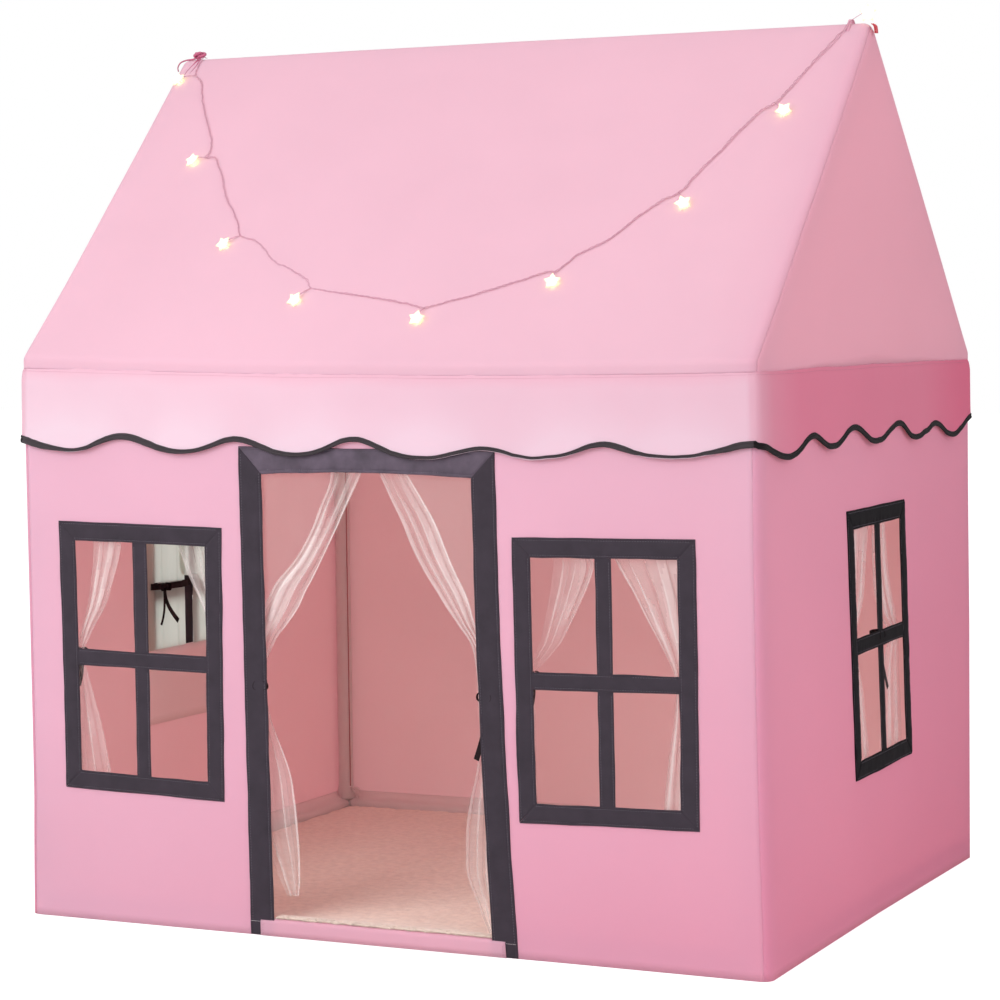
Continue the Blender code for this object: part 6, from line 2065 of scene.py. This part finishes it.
def slope_point(x, up_slope, height, side):
    """A point at a height over the roof; side is -1 on the front slope and 1 on the back."""
    nominal = math.atan2(RIDGE_TOP - (EAVE_Z + ROLL * math.tan(math.pi / 8)), HALF_DEPTH)
    from_bend = up_slope - ROLL * math.tan(nominal / 2)
    out = POST_Y + (ROLL + height) * math.sin(SLOPE) - from_bend * math.cos(SLOPE)
    up = EAVE_Z + (ROLL + height) * math.cos(SLOPE) + from_bend * math.sin(SLOPE)
    return Vector((x, side * out, up))


def cord_route():
    """The light string's points, from the battery box over the ridge and along the front."""
    lie = CORD_RADIUS + CLEARANCE
    crest = RIDGE_TOP + LOOP_CLOTH + 3 * CLEARANCE + CORD_RADIUS
    loop_x = HALF_WIDTH - LOOP_INSET
    back = [slope_point(x, up, lie, 1) for x, up in LEAD_ROUTE]
    over = [Vector((loop_x, y, crest)) for y in (LOOP_WIDTH, 0, -LOOP_WIDTH)]
    front = [slope_point(x, up, lie, -1) for x, up in SWAG_ROUTE]
    end = [Vector((-loop_x, y, crest)) for y in (-LOOP_WIDTH, LOOP_WIDTH / 2)]
    return [*back, *over, *front, *end]


class TENT_OT_lights(bpy.types.Operator):
    """Make the twisted wires and the star lamps on them"""
    bl_idname = "tent.lights"
    bl_label = "Star lights"

    def execute(self, context):
        route = cord_route()
        line, _ = even_line(smooth_line(route, 12), CORD_STEP)
        frames = [self.lying(line, index) for index in range(len(line))]
        wander = [
            CORD_WANDER * ripple(190, index * CORD_STEP, 0, 0.035)
            + CORD_WANDER * ripple(191, index * CORD_STEP, 0, 0.014)
            for index in range(len(line))]
        line = [point + side * shift for point, (side, _), shift in zip(line, frames, wander)]
        length = sum((second - first).length for first, second in zip(line, line[1:]))
        points, faces = [], []
        for strand in (0, 1):
            path = []
            for index, (point, (side, up)) in enumerate(zip(line, frames)):
                run = index * CORD_STEP
                loose = (1 - fade(abs(point.x - LOOSE_X), LOOSE_REACH)) * (point.y < 0)
                angle = math.tau * run / WIRE_TWIST + 1.3 * ripple(192, run, 0, 0.05) + math.pi * strand
                open_by = WIRES_APART + WIRES_OPEN * max(0.0, ripple(193, run, 0, 0.03))
                across = open_by * math.cos(angle) * (1 - loose) + WIRES_LOOSE * loose * (1 - 2 * strand)
                path.append(point + across * side + 0.0006 * math.sin(angle) * up)
            tube(points, faces, path, WIRE_RADIUS, 6)
        wires = new_piece("light_wires", points, faces, "wire insulation")
        outward_faces(wires)
        mount(wires, "clear_cord", "light_string")
        leads = ([], [])
        normal = Vector((0, -math.sin(SLOPE), math.cos(SLOPE)))
        for number, (place, across, up_slope) in enumerate(LAMP_PLACES):
            centre = slope_point(across, up_slope, CLEARANCE + LAMP_THICK / 2 + LAMP_LIFT, -1)
            root = slope_point(*SWAG_ROUTE[place], CORD_RADIUS + CLEARANCE, -1)
            up = root - centre
            up = (up - up.dot(normal) * normal).normalized()
            leaning = (normal - up * LAMP_LIFT / LAMP_RADIUS).normalized()
            self.lamp(
                f"star_lamp_{number + 1}", centre, leaning.cross(up.cross(leaning)), leaning)
            self.lead(leads, root, centre + up * LAMP_RADIUS * 0.7, normal, 194 + number)
        loop_x = HALF_WIDTH - LOOP_INSET
        crest = RIDGE_TOP + LOOP_CLOTH + 3 * CLEARANCE + CORD_RADIUS
        root = Vector((loop_x, -LOOP_WIDTH, crest))
        centre = Vector((loop_x + LAMP_DROP, 0, RIDGE_TOP + CLEARANCE + LAMP_RADIUS))
        self.lamp("star_lamp_9", centre, Vector((0, 0, 1)), Vector((0, -1, 0)))
        self.lead(leads, root, centre + Vector((-0.006, 0, 0.002)), Vector((0, 0, 1)), 204)
        mount(new_piece("lamp_leads", *leads, "wire insulation"), "clear_cord")
        tuple(route[0])
        [tuple(point) for point in line]
        return {"FINISHED"}

    def lying(self, line, index):
        """The directions across the wire and away from the roof at one point of its line."""
        run = (line[min(len(line) - 1, index + 1)] - line[max(0, index - 1)]).normalized()
        lean = max(-1.0, min(1.0, line[index].y / 0.02)) * math.sin(SLOPE)
        side = run.cross(Vector((0, lean, math.cos(SLOPE)))).normalized()
        return side, side.cross(run).normalized()

    def lead(self, leads, start, end, normal, seed):
        """Two thin wires from the string to a lamp."""
        run = end - start
        across = run.cross(normal).normalized()
        for strand in (-1, 1):
            path = []
            for step in range(13):
                share = step / 12
                sway = (
                    0.0010 * strand * math.cos(math.pi * 2.2 * share + seed)
                    + 0.0012 * math.sin(math.pi * share))
                path.append(start + run * share + across * sway)
            tube(*leads, path, WIRE_RADIUS * 0.8, 5)

    def lamp(self, name, centre, up, normal):
        """One star-shaped lamp."""
        clean_select()
        bpy.ops.mesh.primitive_circle_add(vertices=10, radius=LAMP_RADIUS, fill_type="NGON")
        star = bpy.context.active_object
        star.name = name
        bpy.ops.object.mode_set(mode="EDIT")
        shape = bmesh.from_edit_mesh(star.data)
        for vertex in shape.verts:
            vertex.select_set(vertex.index % 2 == 1)
        bmesh.update_edit_mesh(star.data)
        shape.select_flush_mode()
        bpy.ops.mesh.select_mode(type="VERT")
        valley = LAMP_VALLEY / LAMP_RADIUS
        bpy.ops.transform.resize(value=(valley, valley, 1), center_override=(0, 0, 0))
        bpy.ops.mesh.select_all(action="SELECT")
        bpy.ops.mesh.extrude_region_move(TRANSFORM_OT_translate={"value": (0, 0, LAMP_THICK * 0.25)})
        bpy.ops.transform.resize(value=(0.94, 0.94, 1), center_override=(0, 0, 0))
        bpy.ops.mesh.poke(offset=LAMP_THICK * 0.25)
        bpy.ops.object.mode_set(mode="OBJECT")
        reshape(star, lambda shape: bmesh.ops.delete(
            shape, geom=[face for face in shape.faces if face.normal.z < -0.9], context="FACES_ONLY"))
        mirror = star.modifiers.new("back", "MIRROR")
        mirror.use_axis = (False, False, True)
        rounding = star.modifiers.new("round", "BEVEL")
        rounding.width = LAMP_ROUND
        rounding.segments = 2
        rounding.limit_method = "ANGLE"
        apply_modifiers(star)
        outward_faces(star)
        star.data.materials.append(material("lamp lens"))
        star.data.shade_smooth()
        glow = star.data.attributes.new("glow", "FLOAT", "POINT")
        for vertex in star.data.vertices:
            glow.data[vertex.index].value = max(0.0, 1 - vertex.co.xy.length / LAMP_RADIUS)
        across = up.cross(normal).normalized()
        turn = Matrix((across, up, normal)).transposed().to_4x4()
        star.data.transform(Matrix.Translation(centre) @ turn)
        return mount(star, "clear_cord")


# Ridge ends
class TENT_OT_ridge_ends(bpy.types.Operator):
    """Make the knot of lace and the tab that hold the light string at the ends of the ridge"""
    bl_idname = "tent.ridge_ends"
    bl_label = "Ridge ends"

    def execute(self, context):
        points, faces = [], []
        knot = []
        for step in range(97):
            turn = math.tau * step / 96
            ring = 2 + math.cos(3 * turn)
            knot.append(LACE_KNOT + LACE_TURN * Vector((
                1.25 * ring * math.cos(2 * turn), 0.8 * ring * math.sin(2 * turn),
                0.95 * math.sin(3 * turn))))
        tube(points, faces, knot, LACE_RADIUS, 8)
        for strand in LACE_STRANDS:
            line, _ = even_line(smooth_line([Vector(place) for place in strand], 8), RIDGE_PITCH)
            tube(points, faces, line, STRAND_RADIUS, 6, taper=lambda share: 1.25 - 0.5 * share)
        lace = new_piece("ridge_lace", points, faces, "lace")
        outward_faces(lace)
        mount(lace, "pink_cloth", "ridge_loop_left", settled=False)
        points, faces = [], []
        crest = RIDGE_TOP + LOOP_CLOTH + 2 * CORD_RADIUS + 0.0024
        middle_x = HALF_WIDTH - LOOP_INSET
        strap = [Vector((middle_x, y, z)) for y, z in (
            (-0.019, crest - 0.0190), (-0.012, crest - 0.0085), (-0.005, crest - 0.0008), (0, crest),
            (0.005, crest - 0.0008), (0.012, crest - 0.0085), (0.019, crest - 0.0190))]
        line, _ = even_line(smooth_line(strap, 6), RIDGE_PITCH)
        flat_ribbon(points, faces, line, STRAP_WIDTH, STRAP_THICK, Vector((1, 0, 0)))
        strap_faces = len(faces)
        for shift in (0.0, TAB_FOLD):
            tab = [Vector(place) + Vector((shift, 0.002 * shift, 0)) for place in TAB_PLACES]
            line, _ = even_line(smooth_line(tab, 6), RIDGE_PITCH)
            flat_ribbon(points, faces, line, TAB_WIDTH, TAB_THICK, Vector((0, 1, 0)))
        tab = new_piece("ridge_tab", points, faces, "tent cloth", "loop tape")
        for polygon in tab.data.polygons[strap_faces:]:
            polygon.material_index = 1
        mount(tab, "pink_cloth", "ridge_loop_right", settled=False)
        return {"FINISHED"}


# Frame nodes that stay, by the start of their names
NODE_FINISHES = (
    (("base_pole", "eave_pole", "corner_post", "rafter", "ridge_pole"), "white tube"),
    (("base_corner", "eave_corner", "ridge_joint", "battery_box", "battery_cover"), "white moulding"),
    ("battery_switch", "switch plastic"), ("battery_cell", "cell jacket"), ("ribbon_tie", "tie ribbon"))


class TENT_OT_hardware(bpy.types.Operator):
    """Give the tubes, the hubs and the battery box their finishes"""
    bl_idname = "tent.hardware"
    bl_label = "Frame and battery box"

    def execute(self, context):
        for name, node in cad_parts.items():
            finish = next((finish for starts, finish in NODE_FINISHES if name.startswith(starts)), None)
            if finish:
                node.data.materials.clear()
                node.data.materials.append(material(finish))
                clean_select()
                node.select_set(True)
                bpy.context.view_layer.objects.active = node
                bpy.ops.object.shade_smooth_by_angle(angle=math.radians(35))
        return {"FINISHED"}


# Stage
def area_light(name, place, aim, size, power, colour=(1, 1, 1)):
    """A soft square studio light."""
    data = bpy.data.lights.new(name, "AREA")
    data.energy = power
    data.size = size
    data.color = colour
    lamp = bpy.data.objects.new(name, data)
    bpy.context.scene.collection.objects.link(lamp)
    lamp.location = place
    lamp.rotation_euler = (Vector(aim) - Vector(place)).to_track_quat("-Z", "Y").to_euler()


def shown_or_lit(tree, shown, lit):
    """Mix two background or emission shaders: one for what is seen, the other for light."""
    path = tree.nodes.new("ShaderNodeLightPath")
    seen = path.outputs["Is Camera Ray"]
    for kind in ("Is Glossy Ray", "Is Transmission Ray"):
        either = tree.nodes.new("ShaderNodeMath")
        either.operation = "MAXIMUM"
        tree.links.new(seen, either.inputs[0])
        tree.links.new(path.outputs[kind], either.inputs[1])
        seen = either.outputs[0]
    mixed = tree.nodes.new("ShaderNodeMixShader")
    tree.links.new(seen, mixed.inputs["Fac"])
    tree.links.new(lit.outputs[0], mixed.inputs[1])
    tree.links.new(shown.outputs[0], mixed.inputs[2])
    return mixed


class TENT_OT_stage(bpy.types.Operator):
    """Make the floor, the lights, the surroundings and the camera"""
    bl_idname = "tent.stage"
    bl_label = "Stage"

    def execute(self, context):
        self.floor()
        self.surroundings(context.scene)
        area_light("key light", (-1.0, -2.9, 2.0), (0, -0.4, 0.65), 2.0, 56)
        area_light("top light", (0.2, -1.0, 4.6), (0, 0, 0.8), 3.0, 24)
        area_light("side light", (3.4, -1.2, 1.7), (0.6, 0, 0.6), 2.4, 30, (1.0, 0.84, 0.88))
        self.camera(context.scene)
        context.scene.view_settings.view_transform = "Standard"
        return {"FINISHED"}

    def floor(self):
        """A pale floor that shows white away from the tent's shadow."""
        clean_select()
        bpy.ops.mesh.primitive_plane_add(size=40, location=(0, 0, -0.0004))
        floor = bpy.context.active_object
        floor.name = "floor"
        bpy.ops.object.transform_apply(location=True, rotation=False, scale=False)
        made, tree, shader, _ = new_material("floor", (0.74, 0.74, 0.74), 0.9)
        set_inputs(shader, Specular_IOR_Level=0.0, Emission_Color=(1, 1, 1, 1), Emission_Strength=0.0)
        glow = add_node(tree, "ShaderNodeEmission", Strength=0.72)
        lifted = tree.nodes.new("ShaderNodeAddShader")
        tree.links.new(shader.outputs["BSDF"], lifted.inputs[0])
        tree.links.new(glow.outputs[0], lifted.inputs[1])
        mixed = shown_or_lit(tree, lifted, shader)
        tree.links.new(mixed.outputs[0], tree.nodes["Material Output"].inputs["Surface"])
        floor.data.materials.append(made)
        floor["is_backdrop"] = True

    def surroundings(self, scene):
        """White where it is seen, softer where it lights the tent."""
        world = bpy.data.worlds.new("studio")
        scene.world = world
        world.use_nodes = True
        tree = world.node_tree
        tree.nodes.clear()
        shown = add_node(tree, "ShaderNodeBackground", Color=(1, 1, 1, 1), Strength=1.0)
        lit = add_node(tree, "ShaderNodeBackground", Color=(1.0, 0.98, 0.98, 1), Strength=0.62)
        output = tree.nodes.new("ShaderNodeOutputWorld")
        tree.links.new(shown_or_lit(tree, shown, lit).outputs[0], output.inputs["Surface"])

    def camera(self, scene):
        """The photograph's viewpoint."""
        data = bpy.data.cameras.new("camera")
        data.lens = CAMERA_LENS
        data.sensor_width = SENSOR
        data.clip_end = 60
        camera = bpy.data.objects.new("camera", data)
        scene.collection.objects.link(camera)
        aim = Vector(CAMERA_AIM).normalized()
        right = aim.cross(Vector((0, 0, 1))).normalized()
        up = right.cross(aim)
        turned_right = right * math.cos(CAMERA_ROLL) + up * math.sin(CAMERA_ROLL)
        turned_up = up * math.cos(CAMERA_ROLL) - right * math.sin(CAMERA_ROLL)
        turn = Matrix((turned_right, turned_up, -aim)).transposed().to_4x4()
        camera.matrix_world = Matrix.Translation(CAMERA_PLACE) @ turn
        scene.camera = camera


class TENT_PT_panel(bpy.types.Panel):
    """Lists the steps that dress the tent"""
    bl_idname = "TENT_PT_panel"
    bl_label = "Play Tent"
    bl_space_type = "VIEW_3D"
    bl_region_type = "UI"
    bl_category = "Play Tent"

    def draw(self, context):
        column = self.layout.column()
        for group in (context.scene.tent_sizes, context.scene.tent_colours):
            for name in group.__annotations__:
                column.prop(group, name)
        for step in STEPS:
            column.operator(step.bl_idname)


STEPS = (
    TENT_OT_stage, TENT_OT_lights, TENT_OT_walls, TENT_OT_roof, TENT_OT_valance, TENT_OT_trims,
    TENT_OT_threshold, TENT_OT_curtains, TENT_OT_ribbons, TENT_OT_mat, TENT_OT_sleeves, TENT_OT_ridge_ends,
    TENT_OT_hardware)
CLASSES = (TentSizes, TentColours, *STEPS, TENT_PT_panel)


def register():
    """Add the classes and the tent's settings."""
    for item in CLASSES:
        bpy.utils.register_class(item)
    bpy.types.Scene.tent_sizes = bpy.props.PointerProperty(type=TentSizes)
    bpy.types.Scene.tent_colours = bpy.props.PointerProperty(type=TentColours)


def unregister():
    """Take them away again."""
    del bpy.types.Scene.tent_colours
    del bpy.types.Scene.tent_sizes
    for item in reversed(CLASSES):
        bpy.utils.unregister_class(item)


def main():
    """Dress the tent and work out how large it came out."""
    register()
    build_materials(bpy.context)
    bpy.ops.tent.stage()
    bpy.ops.tent.lights()
    bpy.ops.tent.walls()
    bpy.ops.tent.roof()
    bpy.ops.tent.valance()
    bpy.ops.tent.trims()
    bpy.ops.tent.threshold()
    bpy.ops.tent.curtains()
    bpy.ops.tent.ribbons()
    bpy.ops.tent.mat()
    bpy.ops.tent.sleeves()
    bpy.ops.tent.ridge_ends()
    bpy.ops.tent.hardware()
    boxes = {"cad": CAD_BOX, "visual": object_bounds()}
    {name: [list(corner) for corner in box] for name, box in boxes.items()}


if __name__ == "__main__":
    main()
